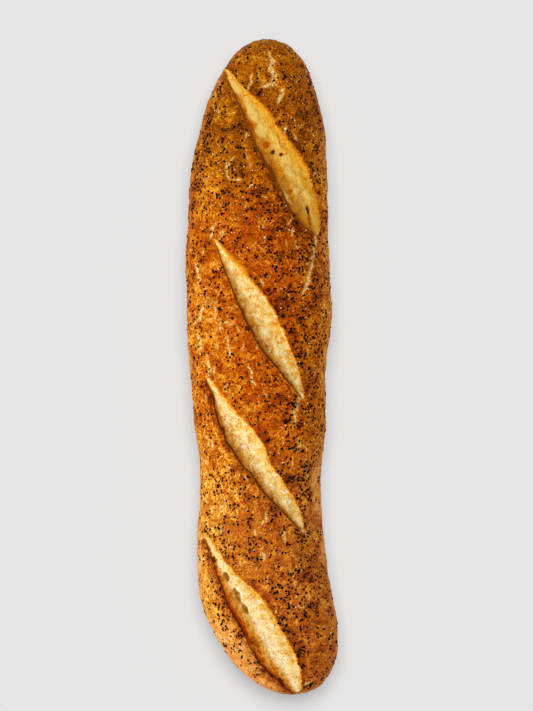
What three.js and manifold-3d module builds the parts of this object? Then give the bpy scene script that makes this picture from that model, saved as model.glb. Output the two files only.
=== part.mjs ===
// A short seeded baguette, in millimetres. The loaf lies along Y and rests on its flat underside at
// Z = 0. Four slanting scores cross its top: each has a raised ear along its lower left edge and a
// bed of crumb that rises from under the ear to the crust on its upper right edge.
import * as THREE from 'three';
import { mergeVertices } from 'three/addons/utils/BufferGeometryUtils.js';
import Module from 'manifold-3d';

const wasm = await Module();
wasm.setup();

// The loaf's outline from above: its middle line bends a little, and its width has two bulges with
// a waist between them. These widths are before the ends close.
const HALF_LENGTH = 164;
const STATIONS = [
  { y: -164, middle: 15.5, halfWidth: 33.2 },
  { y: -136, middle: 7.7, halfWidth: 33.2 },
  { y: -112, middle: 1.6, halfWidth: 33.0 },
  { y: -90, middle: -0.4, halfWidth: 31.9 },
  { y: -58, middle: -0.5, halfWidth: 30.0 },
  { y: -28, middle: -1.1, halfWidth: 32.6 },
  { y: 0, middle: -2.2, halfWidth: 34.0 },
  { y: 28, middle: -1.4, halfWidth: 36.2 },
  { y: 70, middle: -2.1, halfWidth: 34.9 },
  { y: 110, middle: -0.5, halfWidth: 34.3 },
  { y: 140, middle: 1.0, halfWidth: 34.4 },
  { y: 164, middle: 3.5, halfWidth: 34.6 },
];
const HEAD = { startsAt: 80, power: 2.0, root: 2.2 };
const FOOT = { startsAt: -100, power: 2.9, root: 2.0 };

// The loaf's cross-section: rounded above and below its widest level, and flattened by the oven
// floor, which takes off what would hang below it.
const HEIGHT_TO_WIDTH = 0.66;
const WIDEST_AT = 0.42;
const ROUNDNESS = 2.2;
const FLATTENED_DEPTH = 6;
const LUMPS = [
  { height: 0.7, alongX: 0.11, alongY: 0.083, phase: 1.0 },
  { height: 0.5, alongX: -0.09, alongY: 0.147, phase: 2.3 },
];

// The scores, each cut from its upper left tip to its lower right tip. The ear opens to the left of
// the line between the tips and the crumb spreads to the right of it.
const SCORES = [
  { from: [-18, 148.3], to: [28, 67.3], earSide: 4.8, crumbSide: 8.3, depth: 1.6 },
  { from: [-23.5, 63.3], to: [20.5, -14.8], earSide: 6.4, crumbSide: 7.5, depth: 1.3 },
  { from: [-27, -5.8], to: [20, -79.5], earSide: 8.2, crumbSide: 5.0, depth: 1.6 },
  { from: [-27, -85.8], to: [18, -161], earSide: 7.8, crumbSide: 8.4, depth: 2.2 },
];
const SCORE_FULLNESS = 0.9;
const EAR_LEAN = 1.1;
const CRUMB_LEAN = 1.2;
const EAR = { undercut: 0.6, width: 3.2, height: 0.7, root: 1.0 };
const FAR_EDGE_DEPTH = 0.4;
const CUT_CLEARANCE = 5;

// Poppy seeds pressed into the crust.
const SEED = { length: 1.5, width: 1.25, height: 1.15, shown: 0.6, gap: 10, count: 150, dice: 4127 };
const SEEDED_ARC = { from: 0.12 * Math.PI, to: 0.88 * Math.PI };
const SEED_SCORE_MARGIN = 4;

// How finely the crust and the scores are divided.
const RINGS = 56;
const AROUND = 32;
const SCORE_STEPS = 20;
const BED_STEPS = 5;
const EAR_SIDES = 7;

// A smooth curve through the stations' values of one name, at a place y along the loaf.
function alongLoaf(name, y) {
  const last = STATIONS.length - 1;
  const slope = STATIONS.slice(1).map((next, i) => (next[name] - STATIONS[i][name]) / (next.y - STATIONS[i].y));
  const gap = STATIONS.slice(1).map((next, i) => next.y - STATIONS[i].y);
  const tangent = STATIONS.map((_, i) => {
    if (i === 0) return slope[0];
    if (i === last) return slope[last - 1];
    return (slope[i - 1] * gap[i] + slope[i] * gap[i - 1]) / (gap[i - 1] + gap[i]);
  });
  const at = Math.max(STATIONS.findLastIndex((station, i) => station.y <= y && i < last), 0);
  const t = (y - STATIONS[at].y) / gap[at];
  const rest = 1 - t;
  return (
    (1 + 2 * t) * rest * rest * STATIONS[at][name] +
    t * rest * rest * gap[at] * tangent[at] +
    t * t * (3 - 2 * t) * STATIONS[at + 1][name] -
    t * t * rest * gap[at] * tangent[at + 1]
  );
}

// How far the loaf's ends have closed: 1 along the body, falling to 0 at each tip.
function openness(y) {
  const { clamp } = THREE.MathUtils;
  const head = clamp((y - HEAD.startsAt) / (HALF_LENGTH - HEAD.startsAt), 0, 1);
  const foot = clamp((FOOT.startsAt - y) / (HALF_LENGTH + FOOT.startsAt), 0, 1);
  return (1 - head ** HEAD.power) ** (1 / HEAD.root) * (1 - foot ** FOOT.power) ** (1 / FOOT.root);
}

function crossSection(y) {
  const halfWidth = alongLoaf('halfWidth', y);
  const height = 2 * halfWidth * HEIGHT_TO_WIDTH;
  const open = openness(y);
  const level = height * WIDEST_AT;
  return {
    middle: alongLoaf('middle', y),
    reach: halfWidth * open,
    level,
    rise: (height - level) * open,
    drop: (level + FLATTENED_DEPTH) * open,
    open,
  };
}

// The height of the upper crust over a point of the table.
function crustHeight(x, y) {
  const { middle, reach, level, rise, open } = crossSection(y);
  const across = reach > 0 ? Math.min(Math.abs(x - middle) / reach, 1) : 1;
  const lumps = LUMPS.reduce(
    (sum, lump) => sum + lump.height * Math.sin(lump.alongX * x + lump.alongY * y + lump.phase), 0);
  return level + rise * (1 - across ** ROUNDNESS) ** (1 / ROUNDNESS) + lumps * open * (1 - across ** 4);
}

// A point of the crust: the turn runs from the right side over the top to the left side, and on
// round the underside.
function crustPoint(y, turn) {
  const { middle, reach, level, drop } = crossSection(y);
  const rounded = (value) => Math.sign(value) * Math.abs(value) ** (2 / ROUNDNESS);
  const x = middle + reach * rounded(Math.cos(turn));
  const upper = Math.sin(turn) >= 0;
  const z = upper ? crustHeight(x, y) : Math.max(level + drop * rounded(Math.sin(turn)), 0);
  return new THREE.Vector3(x, y, z);
}

// A closed solid from rings of points; a ring of one point is a tip.
function loft(rings) {
  const points = rings.flat();
  const starts = rings.map((_, k) => rings.slice(0, k).reduce((sum, ring) => sum + ring.length, 0));
  const triangles = [];
  for (let k = 0; k + 1 < rings.length; k++) {
    const sides = Math.max(rings[k].length, rings[k + 1].length);
    const near = (i) => starts[k] + (i % rings[k].length);
    const far = (i) => starts[k + 1] + (i % rings[k + 1].length);
    for (let i = 0; i < sides; i++) {
      if (rings[k].length > 1) triangles.push(near(i), far(i), near(i + 1));
      if (rings[k + 1].length > 1) triangles.push(near(i + 1), far(i), far(i + 1));
    }
  }
  return new wasm.Manifold(new wasm.Mesh({
    numProp: 3,
    vertProperties: new Float32Array(points.flatMap((point) => point.toArray())),
    triVerts: new Uint32Array(triangles),
  }));
}

function solidOf(geometry) {
  geometry.deleteAttribute('normal');
  geometry.deleteAttribute('uv');
  const merged = mergeVertices(geometry);
  return new wasm.Manifold(new wasm.Mesh({
    numProp: 3,
    vertProperties: new Float32Array(merged.attributes.position.array),
    triVerts: new Uint32Array(merged.index.array),
  }));
}

function loafBody() {
  const rings = [];
  for (let k = 0; k <= RINGS; k++) {
    const y = -HALF_LENGTH * Math.cos((k / RINGS) * Math.PI);
    const sides = k === 0 || k === RINGS ? 1 : AROUND;
    rings.push(Array.from({ length: sides }, (_, i) => crustPoint(y, (i / AROUND) * 2 * Math.PI)));
  }
  return loft(rings);
}

// One score's own frame: a point along its line, how far it opens to each side there, and how deep
// it is and how far it reaches under the ear.
function scoreFrame({ from, to, earSide, crumbSide, depth }) {
  const start = new THREE.Vector2(...from);
  const line = new THREE.Vector2(...to).sub(start);
  const across = new THREE.Vector2(-line.y, line.x).normalize();
  const opening = (t) => Math.sin(Math.PI * t) ** SCORE_FULLNESS;
  return {
    start,
    line,
    across,
    place: (t, side) => start.clone().addScaledVector(line, t).addScaledVector(across, side),
    ear: (t) => -earSide * opening(t ** EAR_LEAN),
    crumb: (t) => crumbSide * opening(t ** CRUMB_LEAN),
    depth: (t) => FAR_EDGE_DEPTH + (depth - FAR_EDGE_DEPTH) * opening(t),
    undercut: (t) => EAR.undercut * opening(t),
  };
}

// The space that a score leaves: a steep wall under the ear, which it undercuts, and a bed that
// rises in a curve to the far edge.
function scoreCut(score) {
  const frame = scoreFrame(score);
  const rings = [];
  for (let k = 0; k <= SCORE_STEPS; k++) {
    const t = k / SCORE_STEPS;
    const at = (side, up) => {
      const place = frame.place(t, side);
      return new THREE.Vector3(place.x, place.y, crustHeight(place.x, place.y) + up);
    };
    if (k === 0 || k === SCORE_STEPS) {
      rings.push([at(0, EAR.height)]);
      continue;
    }
    const ear = frame.ear(t);
    const crumb = frame.crumb(t);
    const foot = ear - frame.undercut(t);
    const ring = [at(ear, CUT_CLEARANCE), at(crumb, CUT_CLEARANCE)];
    for (let j = BED_STEPS; j >= 0; j--) {
      const share = j / BED_STEPS;
      const depth = FAR_EDGE_DEPTH + (frame.depth(t) - FAR_EDGE_DEPTH) * (1 - share) ** 1.6;
      ring.push(at(foot + (crumb - foot) * share, -depth));
    }
    ring.push(at(ear, EAR.height));
    rings.push(ring);
  }
  return loft(rings);
}

// The ear: a rim of crust that stands up along the score's lower left edge.
function scoreEar(score) {
  const frame = scoreFrame(score);
  const rings = [];
  for (let k = 0; k <= SCORE_STEPS; k++) {
    const t = 0.04 + 0.9 * (k / SCORE_STEPS);
    const size = Math.sin((Math.PI * k) / SCORE_STEPS) ** 0.7;
    const sides = k === 0 || k === SCORE_STEPS ? 1 : EAR_SIDES;
    rings.push(Array.from({ length: sides }, (_, i) => {
      const turn = -(i / EAR_SIDES) * 2 * Math.PI;
      const side = frame.ear(t) + EAR.width * size * Math.cos(turn);
      const place = frame.place(t, side);
      const height = Math.sin(turn) > 0 ? EAR.height : EAR.root;
      const up = sides === 1 ? -EAR.root / 2 : height * size * Math.sin(turn);
      return new THREE.Vector3(place.x, place.y, crustHeight(place.x, place.y) + up);
    }));
  }
  return loft(rings);
}

function overScore({ x, y }, margin) {
  return SCORES.some((score) => {
    const frame = scoreFrame(score);
    const away = new THREE.Vector2(x, y).sub(frame.start);
    const t = away.dot(frame.line) / frame.line.lengthSq();
    if (t < -0.05 || t > 1.05) return false;
    const inside = THREE.MathUtils.clamp(t, 0.02, 0.98);
    const side = away.dot(frame.across);
    return side > frame.ear(inside) - margin && side < frame.crumb(inside) + margin;
  });
}

// A fair draw between 0 and 1 that is the same each time it starts from the same number.
function dice(start) {
  let state = start;
  return () => {
    state = (state + 0x6d2b79f5) | 0;
    let mixed = Math.imul(state ^ (state >>> 15), 1 | state);
    mixed = (mixed + Math.imul(mixed ^ (mixed >>> 7), 61 | mixed)) ^ mixed;
    return ((mixed ^ (mixed >>> 14)) >>> 0) / 4294967296;
  };
}

// Seeds spread evenly over the top and the shoulders: a draw is kept if it is clear of the scores
// and of the seeds before it.
function poppySeeds() {
  const draw = dice(SEED.dice);
  const places = [];
  for (let tries = 0; tries < SEED.count * 40 && places.length < SEED.count; tries++) {
    const y = (2 * draw() - 1) * (HALF_LENGTH - SEED_SCORE_MARGIN);
    const turn = SEEDED_ARC.from + (SEEDED_ARC.to - SEEDED_ARC.from) * draw();
    const spin = draw() * Math.PI;
    const point = crustPoint(y, turn);
    if (overScore(point, SEED_SCORE_MARGIN)) continue;
    if (places.some((other) => other.point.distanceTo(point) < SEED.gap)) continue;
    const alongY = crustPoint(y + 0.1, turn).sub(crustPoint(y - 0.1, turn));
    const round = crustPoint(y, turn + 0.01).sub(crustPoint(y, turn - 0.01));
    places.push({ point, spin, outward: alongY.cross(round).negate().normalize() });
  }
  return places.map(({ point, spin, outward }) => {
    const upright = new THREE.Quaternion().setFromUnitVectors(new THREE.Vector3(0, 0, 1), outward);
    const turned = upright.multiply(new THREE.Quaternion().setFromAxisAngle(new THREE.Vector3(0, 0, 1), spin));
    const centre = point.clone().addScaledVector(outward, SEED.height * (SEED.shown - 0.5));
    const size = new THREE.Vector3(SEED.length, SEED.width, SEED.height).multiplyScalar(0.5);
    const geometry = new THREE.IcosahedronGeometry(1);
    return solidOf(geometry.applyMatrix4(new THREE.Matrix4().compose(centre, turned, size)));
  });
}

function loaf() {
  const withEars = SCORES.map(scoreEar).reduce((whole, ear) => whole.add(ear), loafBody());
  const scored = SCORES.map(scoreCut).reduce((whole, cut) => whole.subtract(cut), withEars);
  const seeded = poppySeeds().reduce((whole, seed) => whole.add(seed), scored);
  const { vertProperties, triVerts } = seeded.getMesh();
  const geometry = new THREE.BufferGeometry();
  geometry.setAttribute('position', new THREE.BufferAttribute(vertProperties, 3));
  geometry.setIndex(new THREE.BufferAttribute(triVerts, 1));
  geometry.computeVertexNormals();
  return geometry;
}

const crust = new THREE.MeshStandardMaterial({ color: '#b9691c', roughness: 0.7, metalness: 0 });
const group = new THREE.Group();
const baguette = new THREE.Mesh(loaf(), crust);
baguette.name = 'loaf';
group.add(baguette);

export default group;
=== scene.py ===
# %% [markdown]
# # A short seeded baguette
# The loaf is one piece of bread: a thin brown crust round a pale crumb. The baker slashed it four
# times before it went into the oven, and each slash opened into a long pale bed with a raised rim,
# the ear, on one side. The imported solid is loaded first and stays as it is. It gives the loaf's
# size and place, and the detailed loaf that is made here is shown instead of it.

# %% Load the solid model
import math
from random import Random
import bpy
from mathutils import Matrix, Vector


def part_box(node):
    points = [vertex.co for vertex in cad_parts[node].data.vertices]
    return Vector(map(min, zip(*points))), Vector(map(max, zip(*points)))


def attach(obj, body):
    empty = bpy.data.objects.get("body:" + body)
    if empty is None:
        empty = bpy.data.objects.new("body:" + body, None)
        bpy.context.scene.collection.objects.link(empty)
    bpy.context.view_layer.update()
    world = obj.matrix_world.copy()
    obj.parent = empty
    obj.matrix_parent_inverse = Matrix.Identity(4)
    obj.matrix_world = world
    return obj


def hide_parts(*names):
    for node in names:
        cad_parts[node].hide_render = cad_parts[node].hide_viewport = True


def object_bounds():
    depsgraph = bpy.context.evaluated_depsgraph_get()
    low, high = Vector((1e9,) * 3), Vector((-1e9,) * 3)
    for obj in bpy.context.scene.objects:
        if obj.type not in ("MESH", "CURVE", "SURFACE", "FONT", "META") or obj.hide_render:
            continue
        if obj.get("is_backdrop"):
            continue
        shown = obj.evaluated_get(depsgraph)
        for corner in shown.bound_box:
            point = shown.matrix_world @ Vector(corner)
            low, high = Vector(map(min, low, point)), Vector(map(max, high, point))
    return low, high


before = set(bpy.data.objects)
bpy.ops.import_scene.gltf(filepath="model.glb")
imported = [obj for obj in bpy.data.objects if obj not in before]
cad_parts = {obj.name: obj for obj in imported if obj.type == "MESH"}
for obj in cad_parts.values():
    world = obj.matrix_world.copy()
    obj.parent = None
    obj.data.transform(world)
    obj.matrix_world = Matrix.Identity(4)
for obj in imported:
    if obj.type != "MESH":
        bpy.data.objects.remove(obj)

from types import SimpleNamespace

import bmesh
import bpy
import numpy as np
from mathutils import Quaternion, Vector, noise

mm = 0.001
solid_low, solid_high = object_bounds()
loaf_low, loaf_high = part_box("loaf")
half_length = (loaf_high.y - loaf_low.y) / 2
print(f"the solid loaf is {2000 * half_length:.1f} mm long and {1000 * loaf_high.z:.1f} mm high")

# %% [markdown]
# ## Camera
# The loaf lies on a pale table and is seen from straight above. A very long lens from high up keeps
# the sides of the loaf from leaning outwards, and its top from looking longer than its underside.
# The lens is worked out from the stretch of table that the view takes in, so it needs no trying out.

# %% The camera above the table
VIEW_HEIGHT = 355.5 * mm
VIEW_CENTRE = (2.25 * mm, 5.75 * mm)
CAMERA_HEIGHT = 8.0
OUTLINE_LEVEL = 20 * mm  # where the loaf is widest, so its outline is true to scale at this height
SENSOR = 36.0

lens_data = bpy.data.cameras.new("camera_above")
lens_data.sensor_fit = "VERTICAL"
lens_data.sensor_height = SENSOR
lens_data.sensor_width = SENSOR
lens_data.lens = SENSOR * (CAMERA_HEIGHT - OUTLINE_LEVEL) / VIEW_HEIGHT
camera = bpy.data.objects.new("camera_above", lens_data)
camera.location = (*VIEW_CENTRE, CAMERA_HEIGHT)
bpy.context.collection.objects.link(camera)
bpy.context.scene.camera = camera
print(f"a lens of {lens_data.lens:.0f} mm on a sensor of {SENSOR:.0f} mm")

# %% [markdown]
# ## Light
# Bread looks crusty when light rakes over it, so a soft lamp stands on the left, a little towards
# the foot of the loaf. Weaker ones above and on the right fill in. Sun lamps light the whole loaf
# evenly, which near lamps would not, and a wide angle softens their shadows. The table gets a lamp
# of its own, almost overhead, so that the loaf's shadow stays close round it. Light linking keeps
# each lamp to what it is meant for, as screens do in a studio, and a pale sky fills in the rest.

# %% Lamps for the loaf, a lamp for the table, and the sky
LOAF_LAMPS = [  # name, where it stands, its strength, and how wide it looks in degrees
    ("lamp_left", Vector((-0.70, -0.24, 0.66)), 2.2, 28),
    ("lamp_above", Vector((-0.06, 0.0, 1.0)), 0.75, 60),
    ("lamp_right", Vector((0.85, 0.15, 0.5)), 0.55, 60),
]
TABLE_LAMP = ("lamp_table", Vector((0.0, 0.21, 1.0)), 8.2, 34)
SKY_STRENGTH = 0.26
SKY_COLOUR = (1.0, 0.985, 0.96, 1.0)
lit_loaf = bpy.data.collections.new("lit_by_the_loaf_lamps")
lit_table = bpy.data.collections.new("lit_by_the_table_lamp")


def add_sun(name, comes_from, strength, angle, receivers):
    data = bpy.data.lights.new(name, "SUN")
    data.energy = strength
    data.angle = math.radians(angle)
    lamp = bpy.data.objects.new(name, data)
    lamp.rotation_euler = comes_from.to_track_quat("Z", "Y").to_euler()
    lamp.light_linking.receiver_collection = receivers
    bpy.context.collection.objects.link(lamp)


for lamp in LOAF_LAMPS:
    add_sun(*lamp, lit_loaf)
add_sun(*TABLE_LAMP, lit_table)
sky = bpy.data.worlds.new("sky")
sky.use_nodes = True
for socket, value in {"Color": SKY_COLOUR, "Strength": SKY_STRENGTH}.items():
    sky.node_tree.nodes["Background"].inputs[socket].default_value = value
bpy.context.scene.world = sky
bpy.context.scene.view_settings.view_transform = "Standard"
print(f"{len(LOAF_LAMPS) + 1} lamps and a pale sky")

# %% [markdown]
# ## Table
# A plain pale surface. Most of its brightness is its own glow and only part is reflected light, as
# on a lit tabletop in a studio, so the loaf's shadow is soft and stays close to it.

# %% The lit table
TABLE_SIZE = 6.0
TABLE_REFLECTS = 0.15
TABLE_GLOW = 0.36


def mesh_from(name, vertices, faces):
    """A mesh from an array of places and an array of faces that all have as many corners."""
    mesh = bpy.data.meshes.new(name)
    count, corners = faces.shape
    mesh.vertices.add(len(vertices))
    mesh.vertices.foreach_set("co", np.asarray(vertices, np.float32).ravel())
    mesh.loops.add(count * corners)
    mesh.loops.foreach_set("vertex_index", faces.astype(np.int32).ravel())
    mesh.polygons.add(count)
    mesh.polygons.foreach_set("loop_start", np.arange(count, dtype=np.int32) * corners)
    mesh.polygons.foreach_set("use_smooth", np.ones(count, bool))
    mesh.update(calc_edges=True)
    mesh.validate()
    return mesh


def add_piece(name, mesh, material, lit_with=lit_loaf):
    piece = bpy.data.objects.new(name, mesh)
    mesh.materials.append(material)
    bpy.context.collection.objects.link(piece)
    lit_with.objects.link(piece)
    return piece


reach = TABLE_SIZE / 2
table_corners = np.array([(x * reach, y * reach, 0) for x, y in ((-1, -1), (1, -1), (1, 1), (-1, 1))])
table_finish = bpy.data.materials.new("pale_table")
table_finish.use_nodes = True
for socket, value in {
    "Base Color": (TABLE_REFLECTS, TABLE_REFLECTS, TABLE_REFLECTS, 1.0),
    "Roughness": 0.9,
    "Specular IOR Level": 0.1,
    "Emission Color": (1.0, 1.0, 1.0, 1.0),
    "Emission Strength": TABLE_GLOW,
}.items():
    table_finish.node_tree.nodes["Principled BSDF"].inputs[socket].default_value = value
table_mesh = mesh_from("table", table_corners, np.array([(0, 1, 2, 3)]))
add_piece("table", table_mesh, table_finish, lit_table)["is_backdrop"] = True
print(f"a table of {TABLE_SIZE:.0f} m")

# %% [markdown]
# ## The loaf's form
# A loaf could be sculpted by hand or grown from a ball, but its outline is simple: a middle line
# that bends a little, a width with two bulges and a waist, and two closed ends. So a few stations
# along the loaf and a rounded cross-section are enough, worked out by the same rules as the solid.
# The crust is then a plain grid of places, with rows along the loaf and columns round it.

# %% Outline and cross-section
STATIONS = np.array([  # place along the loaf, middle line and half width, in millimetres
    (-164, 15.5, 33.2),
    (-136, 7.7, 33.2),
    (-112, 1.6, 33.0),
    (-90, -0.4, 31.9),
    (-58, -0.5, 30.0),
    (-28, -1.1, 32.6),
    (0, -2.2, 34.0),
    (28, -1.4, 36.2),
    (70, -2.1, 34.9),
    (110, -0.5, 34.3),
    (140, 1.0, 34.4),
    (164, 3.5, 34.6),
]) * mm
HEAD_STARTS, HEAD_POWER, HEAD_ROOT = 80 * mm, 2.0, 2.2
FOOT_STARTS, FOOT_POWER, FOOT_ROOT = -100 * mm, 2.9, 2.0
HEIGHT_TO_WIDTH = 0.66
WIDEST_AT = 0.42  # as a share of the height
ROUNDNESS = 2.2  # 2 is an ellipse, and more is squarer
FLATTENED_DEPTH = 6 * mm  # how far the round underside would reach below the table
TINY = 1e-9  # keeps divisions away from 0
LUMPS = [  # height, then waves in a metre across and along the loaf, and a phase
    (0.7 * mm, 110, 83, 1.0),
    (0.5 * mm, -90, 147, 2.3),
]


def smooth_curve(places, values, y):
    """A smooth curve through values that are given at a few places."""
    gap, slope = np.diff(places), np.diff(values) / np.diff(places)
    inner = (slope[:-1] * gap[1:] + slope[1:] * gap[:-1]) / (gap[:-1] + gap[1:])
    tangent = np.concatenate(([slope[0]], inner, [slope[-1]]))
    at = np.clip(np.searchsorted(places, y, side="right") - 1, 0, len(gap) - 1)
    t = (y - places[at]) / gap[at]
    rest = 1 - t
    start = (1 + 2 * t) * rest**2 * values[at] + t * rest**2 * gap[at] * tangent[at]
    return start + t**2 * (3 - 2 * t) * values[at + 1] - t**2 * rest * gap[at] * tangent[at + 1]


def along_loaf(values, y):
    return smooth_curve(STATIONS[:, 0], values, y)


def openness(y):
    """1 along the body, and falling to 0 where each end closes."""
    head = np.clip((y - HEAD_STARTS) / (half_length - HEAD_STARTS), 0, 1)
    foot = np.clip((FOOT_STARTS - y) / (half_length + FOOT_STARTS), 0, 1)
    return (1 - head**HEAD_POWER) ** (1 / HEAD_ROOT) * (1 - foot**FOOT_POWER) ** (1 / FOOT_ROOT)


def cross_section(y):
    half_width, is_open = along_loaf(STATIONS[:, 2], y), openness(y)
    height = 2 * half_width * HEIGHT_TO_WIDTH
    level = height * WIDEST_AT
    middle = along_loaf(STATIONS[:, 1], y)
    return middle, half_width * is_open, level, (height - level) * is_open, is_open


def crust_height(x, y):
    """The height of the upper crust over a point of the table."""
    middle, half_width, level, rise, is_open = cross_section(y)
    across = np.minimum(np.abs(x - middle) / np.maximum(half_width, TINY), 1)
    lumps = sum(h * np.sin(a * x + b * y + phase) for h, a, b, phase in LUMPS)
    return level + rise * (1 - across**ROUNDNESS) ** (1 / ROUNDNESS) + lumps * is_open * (1 - across**4)


def crust_point(y, turn):
    """A place on the crust: the turn runs from the right side over the top to the left, and on."""
    middle, half_width, level, _, is_open = cross_section(y)
    x = middle + half_width * np.sign(np.cos(turn)) * np.abs(np.cos(turn)) ** (2 / ROUNDNESS)
    below = (level + FLATTENED_DEPTH) * is_open * np.abs(np.sin(turn)) ** (2 / ROUNDNESS)
    z = np.where(np.sin(turn) >= 0, crust_height(x, y), np.maximum(level - below, 0))
    return np.stack([x, y + 0 * x, z], axis=-1)


widest = 2000 * cross_section(np.linspace(-half_length, half_length, 400))[1].max()
print(f"the loaf is {widest:.1f} mm wide where it is widest")

# %% The grid of the crust
ROWS = 560
UPPER_COLUMNS = 146
LOWER_COLUMNS = 32
UPPER_ARC = (-0.06 * math.pi, 1.06 * math.pi)
WALK_STEPS = 40001


def row_places():
    """Places along the loaf that are evenly spaced over the crust, so close together at the ends."""
    y = np.linspace(-half_length, half_length, WALK_STEPS)
    half_width = cross_section(y)[1]
    walked = np.concatenate(([0], np.cumsum(np.hypot(np.diff(y), np.diff(half_width)))))
    return np.interp(np.linspace(0, walked[-1], ROWS + 1), walked, y)


row_y = row_places()
upper_turns = np.linspace(*UPPER_ARC, UPPER_COLUMNS, endpoint=False)
lower_turns = np.linspace(UPPER_ARC[1], UPPER_ARC[0] + 2 * math.pi, LOWER_COLUMNS, endpoint=False)
column_turn = np.concatenate([upper_turns, lower_turns])
COLUMNS = len(column_turn)
turn, y = np.meshgrid(column_turn, row_y)
crust = crust_point(y, turn)
print(f"{ROWS} rows and {COLUMNS} columns")

# %% [markdown]
# ## Noise
# Nothing on bread is even, so nearly every step below adds some randomness. Blender's own smooth
# noise gives the same value at the same place on every run. One helper reads it over a whole array
# of places, at a chosen size of feature, and a seed moves the pattern elsewhere.

# %% Smooth noise over an array
PATTERN_STEP = 31.7  # how far apart the patterns of two seeds lie, in sizes of a feature
NOISE_GAIN = 1.6  # the plain noise seldom goes beyond 0.6


def rough(places, size, seed):
    """Smooth random values from about -1 to 1 whose features are of one size."""
    shifted = np.asarray(places) / size + seed * PATTERN_STEP
    values = np.array([noise.noise(place) for place in shifted.reshape(-1, 3).tolist()])
    return values.reshape(shifted.shape[:-1]) * NOISE_GAIN


def rough_line(distance, size, seed):
    """The same along a line."""
    distance = np.asarray(distance, float)
    return rough(np.stack([distance, 0 * distance, 0 * distance], axis=-1), size, seed)


def fade(value, low, high):
    """0 below the low value, 1 above the high one, and a smooth step between."""
    t = np.clip((value - low) / np.maximum(high - low, TINY), 0, 1)
    return t * t * (3 - 2 * t)


print(f"noise at the middle of the loaf: {rough([[0, 0, 0.04]], 5 * mm, 3)[0]:.3f}")

# %% [markdown]
# ## Scores
# When a slashed loaf swells, one lip of the cut lifts a little and browns into the ear, and the
# dough below pushes out in a long almond shape that stays pale. A Boolean cut would leave a hard
# groove with flat facets. Instead each place of the crust near a score moves along a profile: up
# onto the ear, down its short wall, and over the swollen bed to the far edge. The grid stays
# closed. No two scores opened alike, so each edge has its own reach at even steps along the score,
# and each bed its own look: creased or drawn out, pale or golden, under an ear that is burnt here
# and gilt there.

# %% Where the scores lie
# For each score: both tips; the height of the lip, and the depth and swelling of the bed; how much
# the bed is creased; how golden the bed, and how burnt and how gilt the ear is, at the first tip and
# at the other; and the reach of the ear, of the far edge and of the browned fringe past it, at even
# steps. All lengths are in millimetres.
SCORES = [
    dict(start=(-18, 148.3), end=(28, 67.3), lip=0.25, depth=0.25, bulge=0.3, creased=0.1,
         golden=(0.45, 1.1), burnt=(0.8, 1.2), gilt=(0.35, 0.25),
         ear=(1.6, 2.2, 3.0, 4.4, 5.6, 5.9, 6.0, 6.2, 6.8, 6.0, 2.6),
         far=(1.0, 2.3, 4.8, 6.8, 8.0, 8.8, 9.6, 9.4, 7.6, 4.8, 1.0),
         fringe=(0.3, 0.6, 1.2, 1.6, 1.6, 2.0, 1.7, 1.3, 1.2, 1.0, 0.5)),
    dict(start=(-23.5, 63.3), end=(20.5, -14.8), lip=0.15, depth=0.2, bulge=0.15, creased=1.0,
         golden=(-0.2, 0.6), burnt=(0.3, 0.3), gilt=(0.47, 0.47),
         ear=(0.6, 2.0, 3.7, 4.9, 6.0, 6.7, 6.7, 5.7, 4.2, 2.8, 1.4),
         far=(0.4, 1.6, 3.2, 5.9, 7.2, 7.8, 7.4, 6.4, 5.3, 3.5, 0.5),
         fringe=(0.4, 1.8, 2.6, 1.2, 0.9, 0.9, 0.7, 0.5, 0.5, 0.5, 0.3)),
    dict(start=(-27, -5.8), end=(20, -79.5), lip=0.3, depth=0.4, bulge=0.2, creased=1.0,
         golden=(-0.2, 0.3), burnt=(2.2, 0.2), gilt=(0.0, 0.5),
         ear=(1.1, 2.8, 6.2, 8.3, 9.2, 8.9, 7.6, 7.2, 6.0, 4.1, 1.8),
         far=(0.4, 1.1, 2.0, 3.4, 4.8, 5.4, 3.2, 3.7, 3.8, 3.3, 1.3),
         fringe=(0.4, 1.0, 1.0, 1.1, 0.8, 0.6, 0.6, 0.5, 0.5, 0.4, 0.3)),
    dict(start=(-27, -85.8), end=(18, -161), lip=0.35, depth=0.6, bulge=0.4, creased=0.0,
         golden=(0.0, 0.1), burnt=(1.6, 0.7), gilt=(0.0, 0.0),
         ear=(1.6, 3.2, 5.2, 7.0, 8.8, 9.0, 9.2, 9.8, 9.3, 6.4, 4.0),
         far=(0.7, 1.2, 2.0, 4.1, 6.8, 7.7, 7.8, 7.8, 7.3, 5.6, 2.2),
         fringe=(0.3, 0.4, 0.6, 0.8, 0.9, 1.0, 0.9, 0.9, 0.9, 0.8, 0.4)),
]
EDGE_JITTER = 0.42 * mm  # how far an edge strays from its smooth curve
TIP_REACH = 1.6 * mm  # how far a score runs out past each tip
EAR_BLEND = 5 * mm  # the crust rises to the ear over this width
LIP_WIDTH = 0.3 * mm  # the top of the ear
LIP_UNEVEN = 0.4
LIP_STARTS = 0.4 * mm  # the crust has risen in full at this distance from the wall
GATHERED = (1.0 * mm, 0.7 * mm)  # next to the lip, this much of the grid is drawn together to that
EAR_CURVE, BED_CURVE = 1.6, 1.8  # more than 1 is steeper next to the wall
WALL_WIDTH = 1.5 * mm  # this much of the grid goes into the wall under the ear
WALL_LEAN = 0.05 * mm
FAR_EDGE_DEPTH = 0.35 * mm
FAR_EDGE_BLEND = 1.2 * mm
FULL_WIDTH = 8 * mm  # a score that is narrower than this is shallower too
OUTSIDE = -8 * mm


def score_line(score):
    """A score's first tip, the line to its other tip, that line's length, and the way to its side."""
    start, end = (np.array(score[tip]) * mm for tip in ("start", "end"))
    line = end - start
    length = np.hypot(*line)
    return start, line, length, np.array([-line[1], line[0]]) / length


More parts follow.
